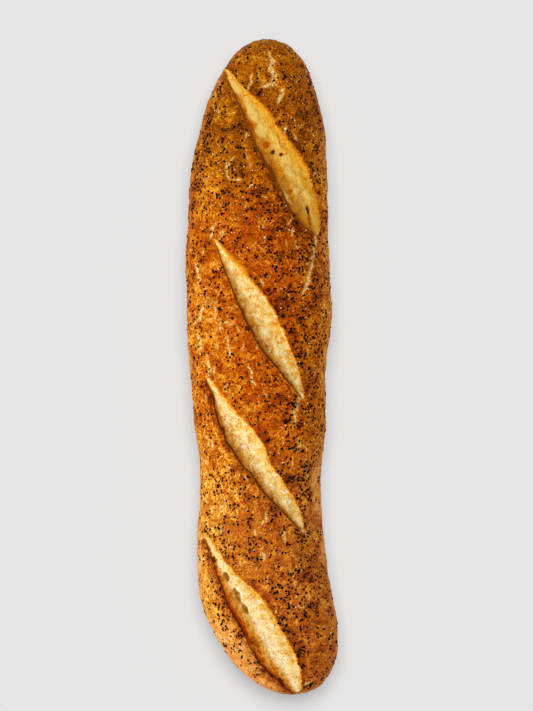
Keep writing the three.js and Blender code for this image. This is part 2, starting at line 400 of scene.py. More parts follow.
def score_frame(score, x, y):
    """How far along and to the side of a score's line each place lies, and the edges there."""
    start, line, length, side_way = score_line(score)
    t = ((x - start[0]) * line[0] + (y - start[1]) * line[1]) / length**2
    side = (x - start[0]) * side_way[0] + (y - start[1]) * side_way[1]
    past_tip = np.maximum(np.maximum(-t, t - 1), 0) * length
    closing = np.sqrt(np.clip(1 - (past_tip / TIP_REACH) ** 2, 0, 1))
    inside, seed = np.clip(t, 0, 1), score["start"][1]
    steps = np.linspace(0, 1, len(score["ear"]))
    ear, far, fringe = (smooth_curve(steps, np.array(score[edge]) * mm, inside)
                        for edge in ("ear", "far", "fringe"))
    ear = -ear * closing + EDGE_JITTER * rough_line(t * length, 5 * mm, seed)
    far = far * closing + EDGE_JITTER * rough_line(t * length, 3.5 * mm, seed + 1)
    return t * length, side, ear, far, fringe, past_tip


for number, score in enumerate(SCORES, 1):
    middle = [np.array([a + b]) / 2 * mm for a, b in zip(score["start"], score["end"])]
    along, _, ear, far, *_ = score_frame(score, *middle)
    print(f"score {number} is {2 * along[0] / mm:.0f} mm long and {(far[0] - ear[0]) / mm:.1f} mm wide")

# %% Cut the scores into the grid
NEXT_SCORE = 0.2  # metres between the patterns of two scores, so that no two look alike


def follow(value, stops):
    """Straight steps between stops, each a pair of where the value stands and what it then gives."""
    result = np.broadcast_to(stops[0][1], value.shape).copy()
    for (low, a), (high, b) in zip(stops, stops[1:]):
        t = np.clip((value - low) / np.maximum(high - low, TINY), 0, 1)
        result = np.where(value >= low, a + (b - a) * t, result)
    return result


def cut_score(places, score):
    """Moves the places near one score onto its profile, and gives the score's marks."""
    _, _, length, side_way = score_line(score)
    along, side, ear, far, fringe, past_tip = score_frame(score, places[..., 0], places[..., 1])
    near = (past_tip < TIP_REACH) & upper & (far > ear)
    opened = np.where(near, fade(far - ear, 0, FULL_WIDTH), 0)
    lip = score["lip"] * mm * (1 + LIP_UNEVEN * rough_line(along, 9 * mm, 7)) * opened
    deep = score["depth"] * mm * opened
    rise_from, wall_top, wall_foot = (
        ear + step * opened for step in (-EAR_BLEND, -LIP_WIDTH, WALL_WIDTH))
    across = follow(side, [
        (rise_from, rise_from),
        (wall_top - GATHERED[0] * opened, ear - GATHERED[1] * opened),
        (wall_top, ear),
        (wall_foot, ear + WALL_LEAN * opened),
        (far, far),
    ])
    across = np.where((side > rise_from) & (side < far) & near, across, side)
    share = np.clip((side - wall_foot) / np.maximum(far - wall_foot, TINY), 0, 1)
    swell = score["bulge"] * mm * opened * 4 * share * (1 - share)
    bed = swell - deep * (1 - share) ** BED_CURVE - FAR_EDGE_DEPTH * opened * share
    rising = fade(side, rise_from, wall_top - LIP_STARTS * opened) ** EAR_CURVE
    walled = fade(side, wall_top, wall_foot)
    beyond = -FAR_EDGE_DEPTH * opened * (1 - fade(side, far, far + FAR_EDGE_BLEND))
    height = np.where(side < wall_top, lip * rising, lip * (1 - walled) - deep * walled)
    height = np.where(side > wall_foot, bed, height)
    height = np.where(near, np.where(side > far, beyond, height), 0)
    shift = np.where(near, across - side, 0)
    moved = places.copy()
    moved[..., :2] += shift[..., None] * side_way
    base = crust_height(moved[..., 0], moved[..., 1])
    moved[..., 2] = np.where(near & (np.abs(shift) + np.abs(height) > 0), base + height, places[..., 2])
    marks = dict(bed_share=share, fringe=fringe, along=along, aside=side)
    for name, inwards in (("from_ear", side - wall_top), ("from_far", far - side)):
        marks[name] = np.where(upper, np.clip(inwards - past_tip, OUTSIDE, -OUTSIDE), OUTSIDE)
    marks["creased"] = np.full(side.shape, score["creased"])
    for name in ("golden", "burnt", "gilt"):
        marks[name] = np.interp(along, [0, length], score[name])
    return moved, marks


upper = np.broadcast_to(np.sin(turn) >= 0, turn.shape)
score_depth = np.full(turn.shape, OUTSIDE)
scored, score_marks = crust.copy(), {}
for number, score in enumerate(SCORES):
    moved, marks = cut_score(crust, score)
    scored = np.where((np.abs(moved - crust).max(axis=-1) > 0)[..., None], moved, scored)
    depth = np.minimum(marks["from_ear"], marks["from_far"])
    marks["along"] = marks["along"] + number * NEXT_SCORE
    nearest = (depth > score_depth) | (number == 0)
    score_marks = {name: np.where(nearest, value, score_marks.get(name, 0))
                   for name, value in marks.items()}
    score_depth = np.maximum(score_depth, depth)
print(f"{(score_depth > 0).mean():.1%} of the grid is crumb")

# %% [markdown]
# ## Cracks
# As the loaf cools, its thin crust splits. The splits are narrow and jagged, run mostly along the
# loaf, and show the pale layer below. They are kept as lines of places: the grid sinks a little
# along them, and the finish reads how far each place is from the nearest one.

# %% Lines of the cracks
CRACKS = [  # width, then the places that the crack runs through, all in millimetres
    (2.1, (3.0, 157.5), (5.4, 152.5), (4.2, 148.5), (6.4, 145.4), (4.6, 140.8), (-0.3, 139.5)),
    (2.0, (10.6, 139.0), (9.8, 136.0), (7.9, 131.6)),
    (0.8, (-5.0, 146.0), (-7.0, 138.5)),
    (1.1, (12.0, 120.4), (11.0, 116.3)),
    (0.9, (-14.1, 104.6), (-18.1, 99.5), (-16.6, 93.9)),
    (0.8, (-16.6, 93.7), (-10.0, 93.7)),
    (0.6, (-3.8, 91.5), (-7.5, 88.8)),
    (1.2, (27.0, 68.0), (26.5, 56.7), (24.7, 54.0), (24.2, 48.5), (23.0, 41.8), (20.1, 37.0), (20.6, 34.0)),
    (1.2, (-23.0, 72.0), (-25.3, 69.0), (-26.8, 63.5)),
    (0.9, (-19.5, 68.5), (-21.0, 64.0)),
    (0.9, (-32.2, 53.0), (-32.4, 48.0), (-31.2, 43.9), (-31.7, 39.3)),
    (1.1, (-28.4, 33.1), (-30.4, 28.0), (-30.9, 24.5), (-35.0, 20.9)),
    (0.9, (-23.8, 32.6), (-23.5, 27.5), (-23.3, 24.0), (-27.3, 22.7)),
    (0.6, (-23.3, 24.0), (-19.2, 22.4), (-15.1, 21.4), (-12.5, 19.9), (-9.5, 16.3)),
    (0.9, (-21.0, 22.4), (-21.2, 18.4)),
    (1.1, (-33.4, 17.9), (-31.9, 13.3), (-30.4, 7.7)),
    (0.9, (-17.1, 15.8), (-16.6, 9.7), (-15.6, 7.6), (-16.3, 4.1)),
    (1.2, (-27.3, 6.6), (-26.8, 2.0), (-26.8, -5.0)),
    (0.8, (-23.8, 0.5), (-24.3, -3.6)),
    (0.9, (-7.2, 0.5), (-5.4, -6.6), (-3.3, -9.2)),
    (1.3, (20.0, -14.0), (17.6, -19.8), (15.6, -23.4), (16.3, -28.0)),
    (0.9, (17.1, -34.6), (18.9, -38.2), (17.4, -42.3)),
    (0.8, (-25.0, -36.7), (-24.7, -41.3)),
    (0.8, (-30.9, -45.3), (-27.5, -49.4)),
    (0.9, (-16.3, -48.9), (-18.1, -52.0)),
    (0.9, (-19.1, -65.8), (-19.6, -69.3), (-21.7, -71.9)),
    (1.3, (-25.8, -69.3), (-26.3, -73.4)),
    (0.8, (-28.3, -76.0), (-27.8, -82.6)),
    (0.9, (-20.4, -79.5), (-20.9, -83.6)),
    (0.9, (2.3, -72.4), (-0.5, -79.0)),
    (1.6, (-3.3, -81.0), (-3.8, -84.1)),
    (1.4, (11.5, -82.0), (11.8, -88.2)),
    (1.3, (20.0, -79.0), (22.5, -84.0)),
    (1.3, (1.4, -92.5), (0.3, -96.8)),
    (0.7, (-10.8, -96.8), (-10.5, -99.3)),
    (0.7, (3.0, -104.6), (2.4, -107.0)),
    (0.7, (20.9, -158.8), (24.5, -156.3)),
]
FINE_CRACKS = 120
FINE_ALONG = (-0.9, 0.93)  # where they lie, as shares of half the loaf's length
FINE_ACROSS, FINE_REACH = (-0.9, 0.85), 33  # and beside the middle line, as shares of 33 mm
FINE_LENGTH = (1.5, 4.5)
FINE_WIDTH = (0.2, 0.42)
FINE_LEAN = 0.45
SPLIT_LEVELS = 3
SPLIT_JITTER = 0.16
CRACK_NEAR = 4 * mm
chance = Random(11)


def split_line(points, levels):
    """Puts a jittered place in the middle of each stretch, a few times over."""
    for _ in range(levels):
        finer = [points[0]]
        for a, b in zip(points, points[1:]):
            along = b - a
            off = np.array([-along[1], along[0]]) * chance.uniform(-SPLIT_JITTER, SPLIT_JITTER)
            finer += [(a + b) / 2 + off, b]
        points = finer
    return points


def crack_lines():
    lines = [(width * mm, [np.array(p) * mm for p in points]) for width, *points in CRACKS]
    for _ in range(FINE_CRACKS):
        y = chance.uniform(*FINE_ALONG) * half_length
        x = float(along_loaf(STATIONS[:, 1], y)) + chance.uniform(*FINE_ACROSS) * FINE_REACH * mm
        heading = chance.gauss(0.0, FINE_LEAN)
        length = chance.uniform(*FINE_LENGTH) * mm
        start = np.array([x, y])
        end = start + length * np.array([math.sin(heading), -math.cos(heading)])
        lines.append((chance.uniform(*FINE_WIDTH) * mm, [start, end]))
    return [(width, split_line(points, SPLIT_LEVELS)) for width, points in lines]


def measure_cracks(places):
    """For each place: the signed distance to the nearest crack, the plain one, and its half width."""
    x, y = places[..., 0], places[..., 1]
    side = np.full(x.shape, CRACK_NEAR)
    near = np.full(x.shape, CRACK_NEAR)
    half = np.zeros(x.shape)
    for width, points in crack_lines():
        corners = np.array(points)
        low, high = corners.min(axis=0) - CRACK_NEAR, corners.max(axis=0) + CRACK_NEAR
        box = upper & (x > low[0]) & (x < high[0]) & (y > low[1]) & (y < high[1])
        px, py = x[box], y[box]
        steps = np.hypot(*np.diff(corners, axis=0).T)
        walked = np.concatenate(([0], np.cumsum(steps))) / steps.sum()
        for a, b, w0, w1 in zip(corners, corners[1:], walked, walked[1:]):
            along = b - a
            t = np.clip(((px - a[0]) * along[0] + (py - a[1]) * along[1]) / (along @ along), 0, 1)
            dx, dy = px - a[0] - t * along[0], py - a[1] - t * along[1]
            distance = np.hypot(dx, dy)
            signed = np.copysign(distance, along[0] * dy - along[1] * dx)
            place = w0 + t * (w1 - w0)
            taper = np.sqrt(np.clip(4.5 * place * (1 - place), 0.02, 1))
            closer = distance < near[box]
            side[box] = np.where(closer, signed, side[box])
            half[box] = np.where(closer, width / 2 * taper, half[box])
            near[box] = np.where(closer, distance, near[box])
    return side, near, half


crack_side, crack_near, crack_half = measure_cracks(scored)
on_crust = fade(-score_depth, 0.0, 1.0 * mm)
print(f"{len(CRACKS) + FINE_CRACKS} cracks, {(crack_near < crack_half).sum()} places of the grid in them")

# %% [markdown]
# ## How the oven browned the loaf, and where light is painted
# An oven bakes unevenly: this loaf stayed paler on the left of the foot and along the right edge,
# its ridge went redder, and its head more ochre and darker. That darker head is partly painted
# shade, for less light there, and the paler lower sides are partly painted light. Such soft
# differences could be painted by hand on a texture. A few round patches that are added up take less,
# and they are measured here for each place of the grid, where the finish can read them as a mark.

# %% Soft patches from the oven
OVEN = [  # how much paler or darker, then the place and reach across and along in millimetres
    (0.14, -32, -100, 24, 110),
    # darker at the head: partly its bake, partly painted shade for less light there
    (-0.11, 0, 124, 45, 36),
    (-0.07, -20, 118, 14, 18),
    (0.07, -22, 84, 8, 10),
    (0.07, -30, 140, 10, 22),
    (-0.05, 0, 16, 13, 62),
    (-0.11, 13, 62, 9, 26),
    (-0.05, 18, 112, 9, 26),
    (0.08, -12, 66, 11, 18),
    (0.04, -33, 8, 8, 22),
    (0.15, 36, 30, 7, 150),
    (0.15, 24, 82, 9, 18),
    (0.04, -2, 46, 10, 16),
    (0.05, -4, -26, 8, 14),
    (-0.12, 8, -148, 16, 14),
]


def bell(x, y, middle_x, middle_y, wide, long):
    """1 at one place of the loaf, falling off round it; everything but x and y is in millimetres."""
    return np.exp(-((x / mm - middle_x) / wide) ** 2 - ((y / mm - middle_y) / long) ** 2)


def patches(x, y, table):
    """The sum of round patches, each with its strength, its place and its reach."""
    return sum(strength * bell(x, y, *patch) for strength, *patch in table)


def across_loaf(places):
    """-1 at the left edge of the loaf, 0 on its middle line and 1 at the right edge."""
    middle, half_width, *_ = cross_section(places[..., 1])
    return (places[..., 0] - middle) / np.maximum(half_width, mm)


def warmth(places):
    """Where the crust is more ochre, towards the head, and where it is redder, on the ridge."""
    across = across_loaf(places)
    head = fade(places[..., 1], 60 * mm, 110 * mm)
    foot = fade(-places[..., 1], 20 * mm, 60 * mm)
    left = fade(-across, -0.1, 0.7) * (0.9 * head + 0.3 * foot)
    right = fade(across, 0.2, 0.7) * (0.7 * head + 0.2)
    ridge = np.exp(-((across - 0.1) / np.where(across < 0.1, 1.0, 0.5)) ** 2)
    return left + right + ridge * (0.8 * head - 0.9 * (1 - foot) * (1 - head))


def fading(places):
    """Where the crust is a little greyer: towards the foot and at the right edge."""
    return fade(-places[..., 1], 20 * mm, 80 * mm) + 0.5 * fade(across_loaf(places), 0.7, 0.95)


# The lower sides are painted paler: partly their real paler bake, and partly painted light, as they turn away
# from the lamps.
low_sides = 1 - fade(crust[..., 2], 16 * mm, 32 * mm)
crust_marks = {
    "bake": patches(crust[..., 0], crust[..., 1], OVEN) + 0.1 * low_sides,
    "hue": 0.4 * low_sides + warmth(crust),
    "low": low_sides,
    "faded": fading(crust),
    "netted": fade(-crust[..., 0], 2 * mm, 22 * mm) * fade(65 * mm - crust[..., 1], 0, 30 * mm),
}
print(f"the oven's patches run from {crust_marks['bake'].min():.2f} to {crust_marks['bake'].max():.2f}")

# %% [markdown]
# ## Spots
# Some places have a character of their own: a burst bubble, a hollow, a shut blister, a smooth
# swollen lobe, a toasted stain, or a patch of crust that is paler or darker. Noise would put them
# anywhere, so each is listed, as an oval with a wobbly edge. The relief and the finish both read
# these marks, and so a bubble is deep and dark in the same place.

# %% Spots with a character of their own
BED_SPOTS = [  # kind, score, share of its length, mm to the side, half length and half width in mm, turn
    ("bubbled", 4, 0.12, -2.7, 1.4, 0.7, 0.0),
    ("bubbled", 4, 0.24, -1.7, 2.8, 1.3, 0.0),
    ("bubbled", 4, 0.36, -1.8, 3.2, 1.2, 0.0),
    ("bubbled", 4, 0.46, -1.9, 3.2, 0.9, 0.0),
    ("bubbled", 4, 0.635, -6.3, 2.3, 1.4, 0.0),
    ("bubbled", 4, 0.92, -5.4, 2.4, 0.8, 0.0),
    ("hollow", 1, 0.507, 0.4, 1.2, 1.4, 0.0),
    ("hollow", 1, 0.54, 3.2, 0.8, 1.0, 0.0),
    ("hollow", 1, 0.87, 1.4, 2.6, 0.8, 0.35),
    ("toasted", 1, 0.455, -1.0, 2.0, 2.4, 0.0),
    ("toasted", 1, 0.60, -4.8, 6.0, 0.8, 0.0),
    ("toasted", 1, 0.74, -1.9, 2.0, 1.2, 0.4),
    ("toasted", 1, 0.92, -1.0, 6.0, 0.9, 0.45),
    ("toasted", 1, 0.33, -3.0, 5.0, 0.8, 0.0),
    ("toasted", 4, 0.45, -8.0, 26.0, 1.3, 0.0),
    ("smooth", 1, 0.10, -0.2, 7.0, 1.6, 0.0),
    ("smooth", 1, 0.27, 1.0, 8.0, 2.6, 0.0),
    ("smooth", 1, 0.38, 0.0, 4.6, 2.8, 0.0),
    ("smooth", 1, 0.47, 4.4, 4.4, 1.0, 0.1),
    ("smooth", 1, 0.57, 3.4, 2.2, 1.8, 0.5),
    ("smooth", 1, 0.645, 2.2, 3.6, 3.0, 0.0),
    ("smooth", 1, 0.75, 0.8, 2.2, 1.8, 0.0),
    ("smooth", 1, 0.76, -5.0, 5.0, 1.0, 0.0),
    ("smooth", 1, 0.80, 4.4, 3.4, 1.8, 0.0),
    ("blister", 3, 0.255, -2.2, 2.0, 1.7, 0.0),
    ("blister", 3, 0.44, -2.8, 1.2, 1.6, 0.3),
]
SPOTS = [  # kind, place, half length and half width in millimetres, and how far it is turned
    ("pale", 29.0, -60.0, 4.4, 17.0, 0.0),
    ("pale", 32.6, -88.0, 3.2, 12.0, 0.0),
    ("pale", -19.0, -139.0, 24.0, 9.5, 0.72),
    ("pale", -3.0, -158.0, 14.0, 4.0, 0.35),
    ("pale", -32.5, -96.0, 3.0, 22.0, 0.0),
    ("dark", -1.0, 84.5, 6.5, 5.5, 0.0),
    ("dark", -8.5, 76.0, 6.0, 7.0, 0.0),
    ("dark", -8.0, -64.0, 4.0, 3.5, 0.0),
    ("dark", 13.0, -131.0, 17.0, 4.5, 1.1),
    ("dark", 27.5, 50.0, 4.0, 34.0, 0.0),
    ("dark", 12.0, -61.0, 5.0, 20.0, 0.5),
    ("dark", 18.0, 118.0, 7.0, 24.0, 0.3),
]
SPOT_WOBBLE = 0.35
SPOT_EDGE = (0.5, 1.15)  # where a spot begins to fade and where it ends, as shares of its reach


def on_bed(kind, number, share, aside, long, wide, turned):
    """A spot in a score, as a spot on the loaf."""
    start, line, _, side_way = score_line(SCORES[number - 1])
    x, y = (start + line * share) / mm + side_way * aside
    return kind, x, y, long, wide, math.atan2(-line[1], line[0]) + turned


def spot_marks(places):
    """For each kind of spot, 1 in the middle of such a spot and 0 outside."""
    x, y = places[..., 0], places[..., 1]
    wobble = 1 + SPOT_WOBBLE * rough(places, 3 * mm, 51)
    marks = {}
    for kind, spot_x, spot_y, long, wide, heading in SPOTS + [on_bed(*spot) for spot in BED_SPOTS]:
        dx, dy = x - spot_x * mm, y - spot_y * mm
        along = dx * math.cos(heading) - dy * math.sin(heading)
        across = dx * math.sin(heading) + dy * math.cos(heading)
        reach = np.hypot(along / (long * mm), across / (wide * mm)) * wobble
        inside = (1 - fade(reach, *SPOT_EDGE)) * upper
        marks[kind] = np.maximum(marks.get(kind, 0), inside)
    return marks


spots = spot_marks(scored)
dented = np.maximum(spots["hollow"], spots["bubbled"])
print(f"{len(SPOTS) + len(BED_SPOTS)} spots")

# %% [markdown]
# ## Relief
# The crust has shallow hills a finger wide and small wrinkles. The crumb in the scores is rougher:
# two of the beds are creased across, and two are drawn out into strands along the score, with open
# bubbles in the last. All of it is small next to the loaf, so it is added along the surface's own
# direction. What is finer than the grid is left to the finish.

# %% Hills, wrinkles, strands and bubbles
CRUST_RELIEF = [(22 * mm, 0.5 * mm), (7 * mm, 0.3 * mm), (2.8 * mm, 0.2 * mm), (1.5 * mm, 0.13 * mm)]
CREASE_SIZE, CREASE_DEPTH = 3.0 * mm, 0.62 * mm
STRAND_SIZE, STRAND_DEPTH, STRAND_STRETCH = 1.7 * mm, 0.3 * mm, 4
BED_HILL_SIZE, BED_HILL_DEPTH = 6 * mm, 0.3 * mm
HOLLOW_DEPTH = 1.9 * mm
SWELLING = 0.4 * mm
CRACK_DEPTH = 0.4 * mm


def outward(places):
    """The surface's own direction at each place of the grid."""
    along = np.gradient(places, axis=0)
    wrapped = np.concatenate([places[:, -1:], places, places[:, :1]], axis=1)
    round_it = (wrapped[:, 2:] - wrapped[:, :-2]) / 2
    normal = np.cross(along, round_it)
    length = np.linalg.norm(normal, axis=-1, keepdims=True)
    return normal / np.maximum(length, TINY * mm)


def crumb_relief():
    """Creases across some beds, strands along the others, and the swellings and hollows in them."""
    creases = -np.abs(rough(scored, CREASE_SIZE, 31)) * score_marks["creased"] * CREASE_DEPTH
    score_space = np.stack([score_marks["along"] / STRAND_STRETCH, score_marks["aside"], 0 * turn], axis=-1)
    strands = rough(score_space, STRAND_SIZE, 32) * STRAND_DEPTH * (1 - 0.6 * score_marks["creased"])
    hills = rough(scored, BED_HILL_SIZE, 33) * BED_HILL_DEPTH
    calm = 1 - 0.8 * spots["smooth"]
    swellings = (spots["smooth"] + spots["blister"]) * SWELLING
    return (creases + strands + hills) * calm - dented * HOLLOW_DEPTH + swellings


crumb_mask = fade(score_depth, -0.1 * mm, 1.2 * mm)
relief = sum(high * rough(crust, size, 20 + i) for i, (size, high) in enumerate(CRUST_RELIEF))
relief = relief * on_crust * (1 - 0.6 * spots["pale"]) + crumb_relief() * crumb_mask
relief = relief - CRACK_DEPTH * fade(crack_half + 0.5 * mm - crack_near, 0, 0.7 * mm) * on_crust
resting = fade(crust[..., 2], 0.2 * mm, 3 * mm)
shaped = scored + outward(scored) * (relief * resting)[..., None]
shaped[..., 2] = np.maximum(shaped[..., 2], 0)
print(f"the relief runs from {relief.min() / mm:.1f} to {relief.max() / mm:.1f} mm")

# %% [markdown]
# ## Where the seeds lie
# The loaf was rolled in poppy seeds, which stuck alone or in small clumps, and the crust is darker
# round the clumps: partly it browned more there, and partly this is painted shade of the seeds. So
# their places are settled before the finish, which reads how closely they lie. The largest are where
# the solid has them, by the same rule and the same draws. The rest fall at random, thickly in some
# parts and thinly in others.

# %% Places of the seeds
# The solid's own rule: how many seeds it tries to place, how far apart, where its draws start, which
# part of the way round they take, and how far they keep from the scores and from the tips. Its
# scores are plain almonds: the reach of both edges in millimetres, a power that makes the ends
# blunter, and one for each edge that puts its widest place past the middle.
SOLID_SEEDS = dict(count=150, gap=10 * mm, dice=4127, arc=(0.12 * math.pi, 0.88 * math.pi), margin=4 * mm)
SOLID_REACH = [(4.8, 8.3), (6.4, 7.5), (8.2, 5.0), (7.8, 8.4)]
SOLID_FULLNESS = 0.9
SOLID_LEAN = (1.1, 1.2)
SMALL_SEEDS = 2200
SEED_ARC = (0.02 * math.pi, 0.985 * math.pi)
CLUMPS = (1, 1, 1, 1, 1, 2, 2, 3)  # how many seeds lie together, drawn from this bag
CLUMP_REACH = 1.3 * mm
SEED_GAP = 1.0 * mm
CRUST_RADIUS = 34 * mm
SEED_ENDS, CLUMP_ENDS = 0.99, 0.996  # how far out draws and clumps reach, as shares of half the length
SCORE_GAP = 0.8 * mm


def dice(start):
    """A draw between 0 and 1 that is the same each time it starts from the same number."""
    state, whole = start, 0xFFFFFFFF
    while True:
        state = (state + 0x6D2B79F5) & whole
        mixed = ((state ^ (state >> 15)) * (1 | state)) & whole
        mixed = ((mixed + ((mixed ^ (mixed >> 7)) * (61 | mixed) & whole)) & whole) ^ mixed
        yield (mixed ^ (mixed >> 14)) / 2**32


def over_score(x, y, margin):
    """Whether a place lies on one of the solid's scores, or close to one."""
    for score, reach in zip(SCORES, SOLID_REACH):
        start, line, length, side_way = score_line(score)
        away = np.array([x, y]) - start
        t, side = float(away @ line) / length**2, float(away @ side_way)
        if not -0.05 <= t <= 1.05:
            continue
        inside = min(max(t, 0.02), 0.98)
        ear, far = (edge * mm * math.sin(math.pi * inside**lean) ** SOLID_FULLNESS
                    for edge, lean in zip(reach, SOLID_LEAN))
        if -ear - margin < side < far + margin:
            return True
    return False


def solid_seeds():
    """The places along and round the loaf where the solid has its seeds, and their turns."""
    draw, found, places = dice(SOLID_SEEDS["dice"]), [], []
    low, high = SOLID_SEEDS["arc"]
    for _ in range(SOLID_SEEDS["count"] * 40):
        if len(found) == SOLID_SEEDS["count"]:
            break
        y = (2 * next(draw) - 1) * (half_length - SOLID_SEEDS["margin"])
        turn = low + (high - low) * next(draw)
        spin = next(draw) * math.pi
        place = crust_point(np.array(y), np.array(turn))
        if over_score(place[0], place[1], SOLID_SEEDS["margin"]):
            continue
        if places and np.linalg.norm(np.array(places) - place, axis=1).min() < SOLID_SEEDS["gap"]:
            continue
        places.append(place)
        found.append((y, turn, spin))
    return found


def row_and_column(y, turn):
    """Where a place along and round the loaf lies on the grid, as fractions."""
    turns = np.append(column_turn, column_turn[0] + 2 * math.pi)
    turn = turn if turn >= column_turn[0] else turn + 2 * math.pi
    return np.interp(y, row_y, np.arange(ROWS + 1)), np.interp(turn, turns, np.arange(COLUMNS + 1))


def on_loaf(values, y, turn):
    """Reads an array of the grid at any place along and round the loaf."""
    row, column = row_and_column(y, turn)
    r0, c0 = min(int(row), ROWS - 1), int(column)
    u, v = row - r0, column - c0
    c0, c1 = c0 % COLUMNS, (c0 + 1) % COLUMNS
    upper_row = values[r0, c0] * (1 - v) + values[r0, c1] * v
    return upper_row * (1 - u) + (values[r0 + 1, c0] * (1 - v) + values[r0 + 1, c1] * v) * u


def scattered(count, seed, keep, clumps=(1,)):
    """Random places on the crust, alone or in clumps; keep gives the chance that a place is taken."""
    chance, found = Random(seed), []
    while len(found) < count:
        y, turn = chance.uniform(-1, 1) * half_length * SEED_ENDS, chance.uniform(*SEED_ARC)
        if chance.random() > float(openness(np.array(y))) * keep(on_loaf(shaped, y, turn), y, turn):
            continue
        clump = []
        for _ in range(chance.choice(clumps)):
            off_y, off_turn = chance.gauss(0, CLUMP_REACH), chance.gauss(0, CLUMP_REACH)
            free = all(math.hypot(off_y - a, off_turn - b) > SEED_GAP for a, b in clump)
            place = min(y + off_y, half_length * CLUMP_ENDS), turn + off_turn / CRUST_RADIUS
            if free and on_loaf(score_depth, *place) < -SCORE_GAP:
                clump.append((off_y, off_turn))
                found.append((*place, chance.uniform(0, 2 * math.pi)))
    return found[:count]


THICKER = [  # how much thicker the seeds lie, then the place and reach as for the oven's patches
    (0.35, -8, 86, 17, 20),
    (0.7, -30, 98, 9, 34),
    (0.4, -8, -75, 14, 20),
    (0.5, -3, 122, 9, 16),
    (0.3, 0, 10, 8, 20),
    (0.8, -15, -130, 8, 16),
    (0.6, -21, -108, 4, 14),
]
THICK_LINE, THICK_REACH = 15 * mm, 11 * mm
clumping = rough(crust, 6 * mm, 61) + 0.7 * rough(crust, 2.4 * mm, 62) + 0.4 * spots["dark"]


def thickness(place, y, turn):
    """How thickly the seeds lie: most on the right of the ridge and on the upper left."""
    x = place[0]
    bare_below, full_above = (12 * mm, 24 * mm) if x > 0 else (17 * mm, 30 * mm)
    low = 0.12 + 0.88 * float(fade(place[2], bare_below, full_above))
    ridge = math.exp(-((x - THICK_LINE) / THICK_REACH) ** 2) * (0.7 + 0.3 * float(fade(y, -20 * mm, 20 * mm)))
    ridge *= float(1 - fade(y, 70 * mm, 110 * mm))
    clumps = float(on_loaf(clumping, y, turn)) - 0.8 * float(on_loaf(spots["pale"], y, turn))
    thick = (0.3 + 0.6 * ridge + patches(x, y, THICKER)) * (0.75 + 0.6 * clumps)
    return min(max(thick, 0.02), 1) * low


def closeness(places):
    """How closely the seeds lie round each place of the grid: 1 at a seed that lies alone."""
    seeds = np.zeros(turn.shape)
    for seed_y, seed_turn, _ in places:
        row, column = row_and_column(seed_y, seed_turn)
        seeds[round(float(row)), round(float(column)) % COLUMNS] += 1
    kernel = np.exp(-(np.arange(-6, 7) / 2.1) ** 2 / 2)  # a soft dot a few places wide
    for axis in (0, 1):
        seeds = np.apply_along_axis(np.convolve, axis, seeds, kernel, mode="same")
    return seeds


large_places = solid_seeds()
small_places = scattered(SMALL_SEEDS, 23, thickness, CLUMPS)
crust_marks["seeded"] = closeness(large_places + small_places)
print(f"{len(large_places)} large seeds and {len(small_places)} smaller ones")

# %% [markdown]
# ## Closing the loaf
# The grid becomes one closed mesh: its columns join round the loaf, and its first and last rows
# shrink to the two tips. The marks that were measured above go along as attributes, one number for
# each place, so that the finish can change exactly at the edge of a score or a crack. Rows and
# columns are also a natural map for baked textures, with its seam under the loaf.

# %% The closed mesh with its marks
MAP_EDGE = 0.004  # an empty border round the map


def close_grid(places):
    """Vertices and triangles of the closed loaf, and the row and column of each triangle's corners.
    Each tip is one vertex in a fan of triangles."""
    rings = places[1:-1].reshape(-1, 3)
    vertices = np.concatenate([rings, [places[0].mean(axis=0), places[-1].mean(axis=0)]])

    def fill(*corners):
        """A triangle at each place of the grid, from the rows and columns of its three corners."""
        corners = [np.stack(np.broadcast_arrays(*corner), axis=-1) for corner in corners]
        return np.stack(corners, axis=-2).reshape(-1, 3, 2)

    i = np.arange(COLUMNS)
    row, column = np.meshgrid(np.arange(1, ROWS - 1), i, indexing="ij")
    corners = np.concatenate([
        fill((row, column), (row + 1, column), (row, column + 1)),
        fill((row, column + 1), (row + 1, column), (row + 1, column + 1)),
        fill((0, i + 0.5), (1, i), (1, i + 1)),
        fill((ROWS - 1, i), (ROWS, i + 0.5), (ROWS - 1, i + 1)),
    ])
    row, column = corners[..., 0], corners[..., 1]
    faces = (row - 1) * COLUMNS + column % COLUMNS
    faces = np.where(row == 0, len(rings), np.where(row == ROWS, len(rings) + 1, faces))
    return vertices, faces.astype(int), corners


def on_vertices(values):
    return np.concatenate([values[1:-1].ravel(), [values[0].mean(), values[-1].mean()]])


def mark(mesh, name, values):
    attribute = mesh.attributes.new(name, "FLOAT", "POINT")
    attribute.data.foreach_set("value", np.asarray(values, np.float32))


def map_grid(mesh, corners):
    """Lays the grid out flat: round the loaf one way and along it the other."""
    layer = mesh.uv_layers.new(name="OFBake")
    flat = corners[..., ::-1] / (COLUMNS, ROWS) * (1 - 2 * MAP_EDGE) + MAP_EDGE
    layer.data.foreach_set("uv", flat.astype(np.float32).ravel())


vertices, triangles, corners = close_grid(shaped)
loaf_mesh = mesh_from("seeded_loaf", vertices, triangles)
map_grid(loaf_mesh, corners)
crack_marks = {"crack_side": crack_side, "crack_near": crack_near, "crack_half": crack_half}
for name, values in {**crack_marks, **score_marks, **spots, **crust_marks}.items():
    mark(loaf_mesh, name, on_vertices(values))
print(f"the loaf has {len(triangles)} triangles")

# %% [markdown]
# ## Writing finishes as sums
# A procedural finish is arithmetic on patterns: this much brown here, a paler line there. Wiring
# every Math node by hand hides that, so a small class stands for the output of a node, and writing
# a sum or a product on it adds the node. A recipe adds every other kind of node through one method,
# which sets the node's own settings before the values or links of its sockets.

# %% A small language for finishes
def tone(red, green, blue):
    """A colour as a screen names it, in the linear light that shaders use."""
    parts = (value / 255 for value in (red, green, blue))
    return tuple(v / 12.92 if v <= 0.04045 else ((v + 0.055) / 1.055) ** 2.4 for v in parts) + (1.0,)


